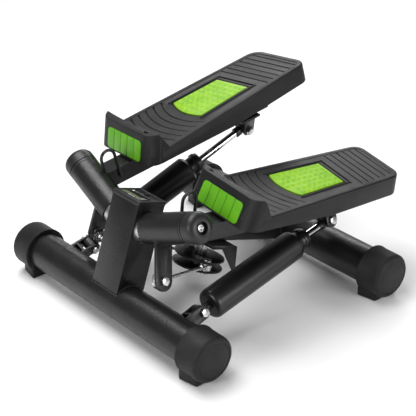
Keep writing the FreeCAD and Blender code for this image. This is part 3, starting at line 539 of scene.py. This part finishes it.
def trimAhead(piece, point, direction):
    # cuts away what lies ahead of a plane
    editStart(piece)
    bpy.ops.mesh.select_all(action="SELECT")
    bpy.ops.mesh.bisect(plane_co=point, plane_no=direction, use_fill=True, clear_outer=True)
    editEnd()
    return piece


def rises(edge):
    return abs((edge.verts[1].co - edge.verts[0].co).z) > 0.001


def topRim(edge, height):
    tilts = sorted(face.normal.z for face in edge.link_faces)
    return abs(middle(edge).z - height) < nearEnough and tilts[0] < 0.5 and tilts[-1] > 0.9


def plateBlank(name, low, high, inset=0):
    # the footplate's outline: leaning front, skewed heel and rounded corners
    plate = plateValues
    ahead, behind = -plate["front"] - plate["blankAhead"], plate["back"] + plate["blankBehind"]
    half = halfWidthAt(ahead) - inset
    piece = addBlock(name, (-half, ahead, low), (half, behind, high))
    editStart(piece)
    pick("VERT", lambda vert: vert.co.y > 0)
    narrowing = (halfWidthAt(behind) - inset) / half
    bpy.ops.transform.resize(value=(narrowing, 1, 1), center_override=(0, 0, 0))
    editEnd()
    lean = math.radians(plate["frontLean"])
    trimAhead(piece, (0, -plate["front"] + inset, 0), (0, -math.cos(lean), math.sin(lean)))
    trimAhead(piece, (0, plate["back"] - inset, 0), (skewSlope, 1, 0))
    editStart(piece)
    pick("EDGE", lambda edge: rises(edge) and middle(edge).y < 0)
    bpy.ops.mesh.bevel(offset=plate["frontCorner"] - inset, segments=9, affect="EDGES")
    pick("EDGE", lambda edge: rises(edge) and middle(edge).y > 0)
    bpy.ops.mesh.bevel(offset=plate["backCorner"] - inset, segments=8, affect="EDGES")
    editEnd()
    return piece


def plateShell():
    plate = plateValues
    piece = plateBlank("footplate", -plate["depth"], 0)
    slope = (plate["depth"] - plate["nose"]) / plate["front"]
    trimAhead(piece, (0, 0, -plate["depth"]), (0, -slope, -1))
    editStart(piece)
    pick("FACE", lambda face: face.normal.z > 0.9)
    bpy.ops.mesh.inset(thickness=plate["border"])
    bpy.ops.mesh.inset(thickness=plate["fieldStep"], depth=-plate["fieldDrop"])
    pick("EDGE", lambda edge: topRim(edge, 0))
    bpy.ops.mesh.bevel(offset=plate["topEdge"], segments=4, affect="EDGES")
    editEnd()
    cavity = plateBlank("cavity", -plate["depth"] * plate["cavityReach"], -plate["deck"], plate["wall"])
    return cut(piece, cavity)


def bowFront(piece, front, half, bulge, cuts):
    # bows a block's straight front edge into an arc
    editStart(piece)
    pick("EDGE", lambda edge: middle(edge).y < front + nearEnough and abs(middle(edge).x) < nearEnough)
    bpy.ops.mesh.subdivide(number_cuts=cuts)
    editEnd()
    for vert in piece.data.vertices:
        if vert.co.y < front + nearEnough:
            vert.co.y -= bulge * (1 - (vert.co.x / half) ** 2)
    return piece


guardValues = {
    "height": 0.028, "backLean": 24.0, "band": 0.035, "reach": 0.038, "setback": 0.0013, "rootShare": 0.9,
    "widen": 1.2, "edge": 0.0045, "notchPlace": (-0.047, -0.1545), "notchSize": (0.005, 0.0016, 0.003)}


def toeGuard():
    # the wall ahead of the toes, its rear face leaning back and bowed
    plate, guard = plateValues, guardValues
    piece = plateBlank("guard", -plate["deck"] * guard["rootShare"], guard["height"])
    half, length = plate["halfFront"] * guard["widen"], plate["front"] + plate["back"]
    behind = addBlock("behind", (-half, 0, -length), (half, length * 2, length))
    bowFront(behind, 0, half, (guard["reach"] - guard["band"]) * guard["widen"] ** 2, 21)
    turn = Matrix.Rotation(math.radians(guard["backLean"]), 4, "X")
    rear = guard["reach"] - plate["front"] + guard["setback"]
    behind.data.transform(Matrix.Translation((0, rear, 0)) @ turn)
    cut(piece, behind)
    editStart(piece)
    pick("EDGE", lambda edge: topRim(edge, guard["height"]))
    bpy.ops.mesh.bevel(offset=guard["edge"], segments=5, affect="EDGES", clamp_overlap=True)
    editEnd()
    place = Vector((*guard["notchPlace"], guard["height"]))
    size = Vector(guard["notchSize"])
    return cut(piece, addBlock("notch", place - size, place + size))


treadValues = {
    "length": 0.094, "halfFront": 0.038, "halfBack": 0.034, "bulge": 0.009, "gap": 0.003, "slack": 0.0002,
    "depth": 0.0024, "top": 0.0, "edge": 0.0006, "rows": 8, "columns": 6, "margin": 0.003, "fanOut": 0.1,
    "bumpHeight": 0.0021, "bumpRoot": 0.0004, "bumpBase": 0.60, "bumpTop": 0.10, "bumpEdge": 0.0006,
    "bowRowShare": 0.4}


def insertOutline(name, gap, low, high):
    # the tread insert's outline: bowed front, skewed rear edge, narrower at the rear
    tread = treadValues
    front, back = -tread["length"] / 2 - gap, tread["length"] / 2 + gap
    half = tread["halfFront"] + gap
    piece = addBlock(name, (-half, front, low), (half, back, high))
    editStart(piece)
    pick("VERT", lambda vert: vert.co.y > 0)
    bpy.ops.transform.resize(value=((tread["halfBack"] + gap) / half, 1, 1), center_override=(0, 0, 0))
    editEnd()
    for vert in piece.data.vertices:
        if vert.co.y > 0:
            vert.co.y -= vert.co.x * skewSlope
    return bowFront(piece, front, half, tread["bulge"], 13)


grooveValues = {
    "width": 0.0034, "depth": 0.0032, "floorShare": 0.6, "toolTop": 0.002, "margin": 0.0015,
    "fieldHalf": 0.02, "arcs": 6, "arcStart": 0.019, "arcPitch": 0.0137, "arcSteps": 36, "sweepLimit": 0.95,
    "bars": 6, "barStart": 0.0255, "barPitch": 0.0128}


def taperFloor(tool, share, centre):
    editStart(tool)
    pick("VERT", lambda vert: vert.co.z < 0)
    bpy.ops.transform.resize(value=share, center_override=centre)
    editEnd()
    return tool


def grooveArc(radius, centre, top, floor):
    # a tapered bar spun about the point that the insert's bow is drawn from
    groove = grooveValues
    bpy.ops.object.select_all(action="DESELECT")
    bpy.ops.mesh.primitive_plane_add(size=2, location=(radius, 0, (top + floor) / 2),
                                     rotation=(math.pi / 2, 0, 0))
    tool = bpy.context.object
    tool.scale = (groove["width"] / 2, (top - floor) / 2, 1)
    bpy.ops.object.transform_apply(location=True, rotation=True, scale=True)
    taperFloor(tool, (groove["floorShare"], 1, 1), (radius, 0, 0))
    sweep = math.asin(min(groove["sweepLimit"], plateValues["halfFront"] / radius))
    start = Matrix.Rotation(-math.pi / 2 + sweep, 4, "Z")
    tool.data.transform(Matrix.Translation((0, centre, 0)) @ start)
    editStart(tool)
    bpy.ops.mesh.select_all(action="SELECT")
    bpy.ops.mesh.spin(steps=groove["arcSteps"], angle=2 * sweep, center=(0, centre, 0), axis=(0, 0, 1))
    bpy.ops.mesh.select_all(action="SELECT")
    bpy.ops.mesh.normals_make_consistent(inside=False)
    editEnd()
    return tool


def grooveTools():
    # arcs ahead of the tread insert and skewed bars behind it, all kept inside the border
    plate, groove, tread = plateValues, grooveValues, treadValues
    top, floor = groove["toolTop"], -plate["fieldDrop"] - groove["depth"]
    half, reach = groove["width"] / 2, groove["fieldHalf"]
    bow = (tread["halfFront"] ** 2 + tread["bulge"] ** 2) / (2 * tread["bulge"])
    centre = bow - tread["length"] / 2 - tread["bulge"]
    radii = [bow + groove["arcStart"] + groove["arcPitch"] * k for k in range(groove["arcs"])]
    tools = [grooveArc(radius, centre, top, floor) for radius in radii]
    for k in range(groove["bars"]):
        y = tread["length"] / 2 + groove["barStart"] + groove["barPitch"] * k
        bar = addBlock("bar", (-plate["halfFront"], -half, floor), (plate["halfFront"], half, top))
        taperFloor(bar, (1, groove["floorShare"], 1), (0, 0, 0))
        tools.append(seat(bar, Matrix.Translation((0, y, 0)) @ skewTurn))
    trimmed = []
    for tool in tools:
        field = plateBlank("field", -reach, reach, plate["border"] + groove["margin"])
        trimAhead(field, (0, guardValues["reach"] - plate["front"], 0), (0, -1, 0))
        trimmed.append(cut(tool, field, "INTERSECT"))
    return joined([tool for tool in trimmed if tool.data.vertices], "grooves")


ribValues = {"width": 0.0024, "height": 0.0012, "gap": 0.0056, "root": 0.002, "ahead": 0.006, "behind": 0.008,
             "skewShift": 0.005, "edge": 0.0007}
slotValues = {"width": 0.0042, "gap": 0.0042, "depth": 0.0026, "past": 0.009}


def addSideRibs(piece):
    # low ribs beside the tread insert, and the slot behind it
    rib, slot, tread, drop = ribValues, slotValues, treadValues, plateValues["fieldDrop"]
    front, back = -tread["length"] / 2 - rib["ahead"], tread["length"] / 2 + rib["behind"]
    for hand in (-1, 1):
        bar = addBlock("rib", (-rib["width"] / 2, front, -drop - rib["root"]),
                       (rib["width"] / 2, back - hand * rib["skewShift"], rib["height"]))
        editStart(bar)
        pick("EDGE", lambda edge: middle(edge).z > 0 and not rises(edge))
        bpy.ops.mesh.bevel(offset=rib["edge"], segments=2, affect="EDGES")
        editEnd()
        lean = math.atan((tread["halfFront"] - tread["halfBack"]) / tread["length"]) * hand
        x = (tread["halfFront"] + tread["halfBack"]) / 2 + rib["gap"]
        seat(bar, Matrix.Translation((x * hand, 0, 0)) @ Matrix.Rotation(lean, 4, "Z"))
        cut(piece, bar, "UNION")
    y = tread["length"] / 2 + tread["gap"] + slot["gap"]
    half = tread["halfBack"] + slot["past"]
    cutter = addBlock("slot", (-half, 0, -drop - slot["depth"]), (half, slot["width"], cutRoom))
    return cut(piece, seat(cutter, Matrix.Translation((0, y, 0)) @ skewTurn))


toeValues = {
    "width": 0.091, "height": 0.033, "thickness": 0.003, "rise": 0.0015, "proud": 0.0008, "corner": 0.006,
    "grooves": 4, "grooveWidth": 0.0011, "grooveDepth": 0.0014, "gap": 0.0008, "edge": 0.0006}


def toePlace():
    turn = Matrix.Rotation(math.radians(-plateValues["frontLean"]), 4, "X")
    return Matrix.Translation((0, -plateValues["front"], 0)) @ turn


def toePanel(name, gap, low, high):
    toe = toeValues
    width, height = toe["width"] + 2 * gap, toe["height"] + 2 * gap
    piece = addBlock(name, (-width / 2, low, toe["rise"] - height / 2),
                     (width / 2, high, toe["rise"] + height / 2))
    editStart(piece)
    pick("EDGE", lambda edge: abs((edge.verts[1].co - edge.verts[0].co).y) > 0.9 * (high - low))
    bpy.ops.mesh.bevel(offset=toe["corner"] + gap, segments=6, affect="EDGES")
    editEnd()
    return piece


armValues = {"centre": 0.001, "width": 0.034, "height": 0.027, "slope": 3.3, "drop": 0.0335, "at": -0.206,
             "back": 0.096, "sideRoom": 0.0006, "topRoom": 0.0004, "endRoom": 0.001, "cutAhead": 0.05,
             "cutBelow": 0.02}


def armPlace():
    turn = Matrix.Rotation(math.radians(-armValues["slope"]), 4, "X")
    return Matrix.Translation((armValues["centre"], armValues["at"], -armValues["drop"])) @ turn


def armChannel():
    # the room that the pedal arm takes under the footplate
    arm = armValues
    half, back = arm["width"] / 2 + arm["sideRoom"], arm["back"] - arm["at"] + arm["endRoom"]
    channel = addBlock("channel", (-half, -arm["cutAhead"], -arm["height"] / 2 - arm["cutBelow"]),
                       (half, back, arm["height"] / 2 + arm["topRoom"]))
    return seat(channel, armPlace())


underValues = {"crossRibs": 5, "crossRibStart": -0.095, "crossRibPitch": 0.05, "crossRibWidth": 0.002,
               "crossRibRise": 0.006, "bossHalf": 0.013, "bosses": (-0.12, -0.02), "bossRise": 0.0002,
               "overlap": 0.001}


def buildFootplate():
    plate, toe, tread, under = plateValues, toeValues, treadValues, underValues
    ceiling = -plate["deck"] + under["overlap"]
    piece = cut(plateShell(), toeGuard(), "UNION")
    cut(piece, grooveTools())
    cut(piece, insertOutline("recess", tread["gap"], -plate["fieldDrop"] - tread["depth"], cutRoom))
    addSideRibs(piece)
    cut(piece, seat(toePanel("toeRecess", toe["gap"], -cutRoom, toe["thickness"]), toePlace()))
    for k in range(under["crossRibs"]):
        y = under["crossRibStart"] + k * under["crossRibPitch"]
        half, low = halfWidthAt(y) - plate["wall"] / 2, -skirtDepthAt(y) + under["crossRibRise"]
        rib = addBlock("crossRib", (-half, y, low), (half, y + under["crossRibWidth"], ceiling))
        cut(piece, rib, "UNION")
    for y in under["bosses"]:
        x, half = armValues["centre"], under["bossHalf"]
        cut(piece, addBlock("boss", (x - half, y - half, -plate["depth"] + under["bossRise"]),
                            (x + half, y + half, ceiling)), "UNION")
    cut(piece, armChannel())
    roundEdges(piece, plate["edgeSoftness"], 2, 40)
    return smooth(piece, 38)


def buildTreadInsert():
    tread = treadValues
    slab = insertOutline("slab", -tread["slack"], -plateValues["fieldDrop"] - tread["depth"], tread["top"])
    roundEdges(slab, tread["edge"], 2)
    pitchX = 2 * tread["halfBack"] / tread["columns"]
    pitchY = (tread["length"] - 2 * tread["margin"]) / tread["rows"]
    bpy.ops.object.select_all(action="DESELECT")
    bpy.ops.mesh.primitive_cone_add(vertices=4, radius1=pitchY * tread["bumpBase"],
                                    radius2=pitchY * tread["bumpTop"], rotation=(0, 0, math.pi / 4),
                                    depth=tread["bumpHeight"] + tread["bumpRoot"])
    bump = bpy.context.object
    bpy.ops.object.transform_apply(location=True, rotation=True, scale=True)
    roundEdges(bump, tread["bumpEdge"], 1, 15)
    pieces = [slab]
    for row in range(-1, tread["rows"]):
        for column in range(tread["columns"]):
            share = (row + 0.5) / tread["rows"]
            x = (column - (tread["columns"] - 1) / 2) * pitchX * (1 + tread["fanOut"] * (1 - share))
            y = -tread["length"] / 2 + tread["margin"] + pitchY * (row + 0.5) - x * skewSlope * max(0, share)
            if row < 0 and abs(x) > tread["halfFront"] * tread["bowRowShare"]:
                continue  # the row in the bow holds only its middle bumps
            twin = copied(bump, "bump")
            twin.data.transform(Matrix.Translation((x, y, tread["top"] + tread["bumpHeight"] / 2)))
            pieces.append(twin)
    bpy.data.objects.remove(bump)
    return smooth(joined(pieces, "tread"), 25)


def buildToeInsert():
    toe = toeValues
    piece = toePanel("toe", 0, -toe["proud"], toe["thickness"])
    pitch, half = toe["width"] / (toe["grooves"] + 1), toe["grooveWidth"] / 2
    for k in range(toe["grooves"]):
        x = -toe["width"] / 2 + pitch * (k + 1)
        cut(piece, addBlock("groove", (x - half, -cutRoom, -toe["height"]),
                            (x + half, toe["grooveDepth"] - toe["proud"], toe["height"])))
    roundEdges(piece, toe["edge"], 3, 30)
    return seat(smooth(piece, 38), toePlace())


for builder, part, slotName in ((buildFootplate, "footplate", "footplate_plastic"),
                                (buildTreadInsert, "tread_insert", "tread_green"),
                                (buildToeInsert, "toe_insert", "toe_green")):
    model = builder()
    for side in sides:
        piece = copied(model, side + "_" + part + "_piece")
        seat(piece, pedalPlace(side))
        fit(piece, side + "_pedal", finishes[slotFinish[slotName]], [side + "_" + part])
    bpy.data.objects.remove(model)

print("stage: feet and end caps")
footValues = {
    "barrel": 0.0362, "lip": 0.037, "lipEdge": 0.0006, "lipLength": 0.003, "lipSlope": 0.0012, "bore": 0.0301,
    "grip": 0.036, "endWall": 0.009, "rounding": 0.008, "faceRise": 0.001, "edge": 0.0009,
    "face": ((0.0278, 0.0018), (0.0270, 0.0012), (0.020, 0.0003), (0.008, 0)),
    "padLength": 0.034, "padInset": 0.013, "padInner": 0.029, "padOuter": 0.0227, "padEdge": 0.003}


def quarterRings(outer, low, rounding, count=6):
    # rings of a rounded shoulder, from the side up to the face
    angles = [math.pi / 2 * k / count for k in range(count + 1)]
    return [(outer - rounding * (1 - math.cos(angle)), low + rounding * math.sin(angle)) for angle in angles]


def footBarrel(length):
    # the local z axis runs outward along the tube
    foot = footValues
    rings = [(foot["lip"] - foot["lipEdge"], 0), (foot["lip"], foot["lipEdge"]),
             (foot["lip"], foot["lipLength"]), (foot["barrel"], foot["lipLength"] + foot["lipSlope"])]
    rings += quarterRings(foot["barrel"], length - foot["rounding"] - foot["faceRise"], foot["rounding"])
    rings += [(radius, length - drop) for radius, drop in foot["face"]]
    return turnedPiece("foot", rings)


def footPad(outer, centreY, top, floor):
    # a flat pad under the barrel, narrower towards the end of the tube
    foot = footValues
    end = outer - foot["padInset"]
    pad = addBlock("pad", (end - foot["padLength"], centreY - foot["padInner"], floor),
                   (end, centreY + foot["padInner"], top))
    editStart(pad)
    pick("VERT", lambda vert: vert.co.x > end - nearEnough)
    narrowing = foot["padOuter"] / foot["padInner"]
    bpy.ops.transform.resize(value=(1, narrowing, 1), center_override=(0, centreY, 0))
    pick("EDGE", lambda edge: middle(edge).z < top - 0.001)
    bpy.ops.mesh.bevel(offset=foot["padEdge"], segments=3, affect="EDGES")
    editEnd()
    return pad


def buildFoot(node, hand):
    # made at the right-hand end of its tube, then mirrored for the left
    foot = footValues
    low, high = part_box(node)
    outer = max(abs(low.x), abs(high.x))
    start = outer - foot["endWall"] - foot["grip"]
    centreY, centreZ = (low.y + high.y) / 2, high.z - foot["lip"]
    place = axesPlace(Vector((start, centreY, centreZ)), zAxis, xAxis)
    piece = seat(footBarrel(outer - start), place)
    cut(piece, footPad(outer, centreY, centreZ, low.z), "UNION")
    cut(piece, seat(addRound("bore", foot["bore"], -cutRoom, foot["grip"]), place))
    roundEdges(piece, foot["edge"], 2, 40)
    smooth(piece, 40)
    if hand < 0:
        seat(piece, mirror)
    piece.name = node + "_rubber"
    return fit(piece, "base", finishes["footRubber"], [node])


capValues = {
    "start": 0.1345, "radius": 0.024, "length": 0.028, "edge": 0.0004, "seat": 0.004, "groove": 0.0012,
    "grooveSlope": 0.0003, "dome": 0.011, "bore": 0.0126, "recess": 0.0092, "recessDepth": 0.009,
    "recessRim": ((0.0012, 0), (0.0002, 0.0006), (0, 0.0016))}


def buildCap(side):
    cap = capValues
    radius, length, groove, slope = cap["radius"], cap["length"], cap["groove"], cap["grooveSlope"]
    rings = [(cap["bore"], cap["seat"]), (cap["bore"], 0), (radius - cap["edge"], 0), (radius, cap["edge"]),
             (radius, cap["seat"]), (radius - groove, cap["seat"] + slope),
             (radius - groove, cap["seat"] + groove), (radius, cap["seat"] + groove + slope)]
    rings += quarterRings(radius, length - cap["dome"], cap["dome"], 9)
    rings += [(cap["recess"] + out, length - drop) for out, drop in cap["recessRim"]]
    rings.append((cap["recess"], length - cap["recessDepth"]))
    piece = smooth(turnedPiece(side + "_end_cap_domed", rings, 72), 40)
    seat(piece, sleevePlace(side, cap["start"]))
    return fit(piece, "base", finishes["capPlastic"], [side + "_end_cap"])


for end in ("front", "rear"):
    for side, hand in (("right", 1), ("left", -1)):
        buildFoot(end + "_" + side + "_foot", hand)
for side in sides:
    buildCap(side)

print("stage: console")
consoleValues = {
    "overCrossing": 0.0475, "halfX": 0.0315, "halfY": 0.0275, "height": 0.007, "corner": 0.004, "rim": 0.0016,
    "rimStep": 0.0005, "topDrop": 0.0006, "edge": 0.0003, "plugX": 0.0272, "plugY": 0.0232, "plug": 0.018,
    "plugOverlap": 0.001, "lensX": 0.020, "lensY": (-0.019, 0.003), "lensDepth": 0.0016, "trim": 0.0012,
    "trimProud": 0.0005, "trimSlack": 0.0001, "well": 0.00475, "wellPlace": 0.014, "wellFloor": 0.0025}


def consolePlace():
    return axesPlace(crossing + postDir * consoleValues["overCrossing"], xAxis, postDir)


def displayBlock(name, room, floor, top):
    # a block round the display window
    v = consoleValues
    low, high = v["lensY"]
    return addBlock(name, (-v["lensX"] - room, low - room, floor), (v["lensX"] + room, high + room, top))


def buildConsole():
    v = consoleValues
    piece = addBlock("console", (-v["halfX"], -v["halfY"], 0), (v["halfX"], v["halfY"], v["height"]))
    editStart(piece)
    pick("EDGE", upright)
    bpy.ops.mesh.bevel(offset=v["corner"], segments=5, affect="EDGES")
    pick("EDGE", lambda edge: topRim(edge, v["height"]))
    bpy.ops.mesh.bevel(offset=v["rim"], segments=3, affect="EDGES")
    pick("FACE", lambda face: face.normal.z > 0.99)
    bpy.ops.mesh.inset(thickness=v["rim"])
    bpy.ops.mesh.inset(thickness=v["rimStep"], depth=-v["topDrop"])
    editEnd()
    cut(piece, addBlock("plug", (-v["plugX"], -v["plugY"], -v["plug"]),
                        (v["plugX"], v["plugY"], v["plugOverlap"])), "UNION")
    cut(piece, displayBlock("window", v["trim"], v["height"] - v["lensDepth"], v["height"] + cutRoom))
    well = addRound("well", v["well"], v["wellFloor"], v["height"] + cutRoom, 40)
    cut(piece, seat(well, Matrix.Translation((0, v["wellPlace"], 0))))
    roundEdges(piece, v["edge"], 2, 40)
    piece.name = "console_housing_moulded"
    return seat(smooth(piece), consolePlace())


def buildTrim():
    # thin bright frame round the display window
    v = consoleValues
    floor = v["height"] - v["lensDepth"] + v["trimSlack"]
    piece = displayBlock("console_trim", v["trim"] - v["trimSlack"], floor, v["height"] + v["trimProud"])
    cut(piece, displayBlock("inside", 0, 0, v["height"] + cutRoom))
    roundEdges(piece, v["edge"], 2, 40)
    return seat(smooth(piece), consolePlace())


fit(buildConsole(), "base", finishes["capPlastic"], ["console_housing"])
fit(buildTrim(), "base", finishes["hardChrome"])

print("stage: weld beads")
weldValues = {"size": 0.0019, "step": 0.0026, "flat": 0.75, "swell": 0.14, "swellStep": 2.3, "turnStep": 0.7,
              "startOut": 0.05}
metalValues = {"postOnTube": 0.1095, "spacing": 0.358, "tube": 0.030, "postX": 0.030, "postY": 0.026,
               "beamX": 0.020, "beamZ": 0.015, "sleeve": 0.024, "leverStation": 0.0744, "leverAngle": -10.8,
               "leverWidth": 0.030, "leverThickness": 0.005}
frontAxis = crossing - postDir * metalValues["postOnTube"]
rearAxis = frontAxis + Vector((0, metalValues["spacing"], 0))


def outlinePoints(width, height):
    # evenly spaced points round a rectangle
    halfA, halfB = width / 2, height / 2
    corners = [(-halfA, -halfB), (halfA, -halfB), (halfA, halfB), (-halfA, halfB)]
    points = []
    for (a0, b0), (a1, b1) in zip(corners, corners[1:] + corners[:1]):
        count = max(1, round(math.hypot(a1 - a0, b1 - b0) / weldValues["step"]))
        points += [(a0 + (a1 - a0) * k / count, b0 + (b1 - b0) * k / count) for k in range(count)]
    return points


def meetRound(start, direction, axisPoint, axisDir, radius):
    # where a line first meets a round tube
    across = direction - axisDir * direction.dot(axisDir)
    offset = (start - axisPoint) - axisDir * (start - axisPoint).dot(axisDir)
    a, b, c = across.length_squared, across.dot(offset), offset.length_squared - radius ** 2
    return start + direction * ((-b - math.sqrt(max(0, b * b - a * c))) / a)


def weldBeads(name, body, points, hand=None):
    # overlapping drops along the seam, each a little larger or smaller than the last
    weld = weldValues
    bpy.ops.object.select_all(action="DESELECT")
    bpy.ops.mesh.primitive_uv_sphere_add(segments=8, ring_count=5, radius=weld["size"])
    drop = bpy.context.object
    beads = []
    for k, point in enumerate(points):
        bead = copied(drop, "bead")
        swell = 1 + weld["swell"] * math.sin(k * weld["swellStep"])
        turn = Matrix.Rotation(k * weld["turnStep"], 4, "Y")
        shape = Matrix.Diagonal((swell, weld["flat"] * swell, swell, 1))
        beads.append(seat(bead, Matrix.Translation(point) @ turn @ shape))
    bpy.data.objects.remove(drop)
    piece = smooth(joined(beads, name), 80)
    if hand is not None:
        seat(piece, hand)
    return fit(piece, body, finishes["powderCoat"])


def baseWelds():
    v = metalValues
    postEnd = outlinePoints(2 * v["postX"], 2 * v["postY"])
    beamEnd = outlinePoints(2 * v["beamX"], 2 * v["beamZ"])
    foot = [meetRound(crossing + xAxis * a + beamDir * b, -postDir, frontAxis, xAxis, v["tube"])
            for a, b in postEnd]
    root = [crossing + xAxis * a + postDir * b + beamDir * v["postY"] for a, b in beamEnd]
    tail = [meetRound(crossing + xAxis * a + postDir * b, beamDir, rearAxis, xAxis, v["tube"])
            for a, b in beamEnd]
    weldBeads("post_weld", "base", foot)
    weldBeads("beam_front_weld", "base", root)
    weldBeads("beam_rear_weld", "base", tail)


def pedalWelds(side):
    # worked out on the right-hand pedal in its level pose, then swung and mirrored
    v, out = metalValues, weldValues["startOut"]
    arm = levelPlace() @ armPlace()
    armDir = (arm.to_3x3() @ Vector((0, -1, 0))).normalized()
    armPoints = [meetRound(arm @ Vector((a, out, b)), armDir, crossing, sleeveDir, v["sleeve"])
                 for a, b in outlinePoints(armValues["width"], armValues["height"])]
    down = (-zAxis + sleeveDir * zAxis.dot(sleeveDir)).normalized()
    angle = math.radians(v["leverAngle"])
    leverDir = down * math.cos(angle) + sleeveDir.cross(down) * math.sin(angle)
    leverSide = sleeveDir.cross(leverDir)
    leverFoot = crossing + sleeveDir * v["leverStation"] + leverDir * out
    leverPoints = [meetRound(leverFoot + sleeveDir * b + leverSide * a, -leverDir, crossing, sleeveDir,
                             v["sleeve"]) for a, b in outlinePoints(v["leverWidth"], v["leverThickness"])]
    weldBeads(side + "_arm_weld", side + "_pedal", armPoints, swingPlace(side))
    weldBeads(side + "_lever_weld", side + "_pedal", leverPoints, swingPlace(side))


baseWelds()
for side in sides:
    pedalWelds(side)

print("stage: finish")
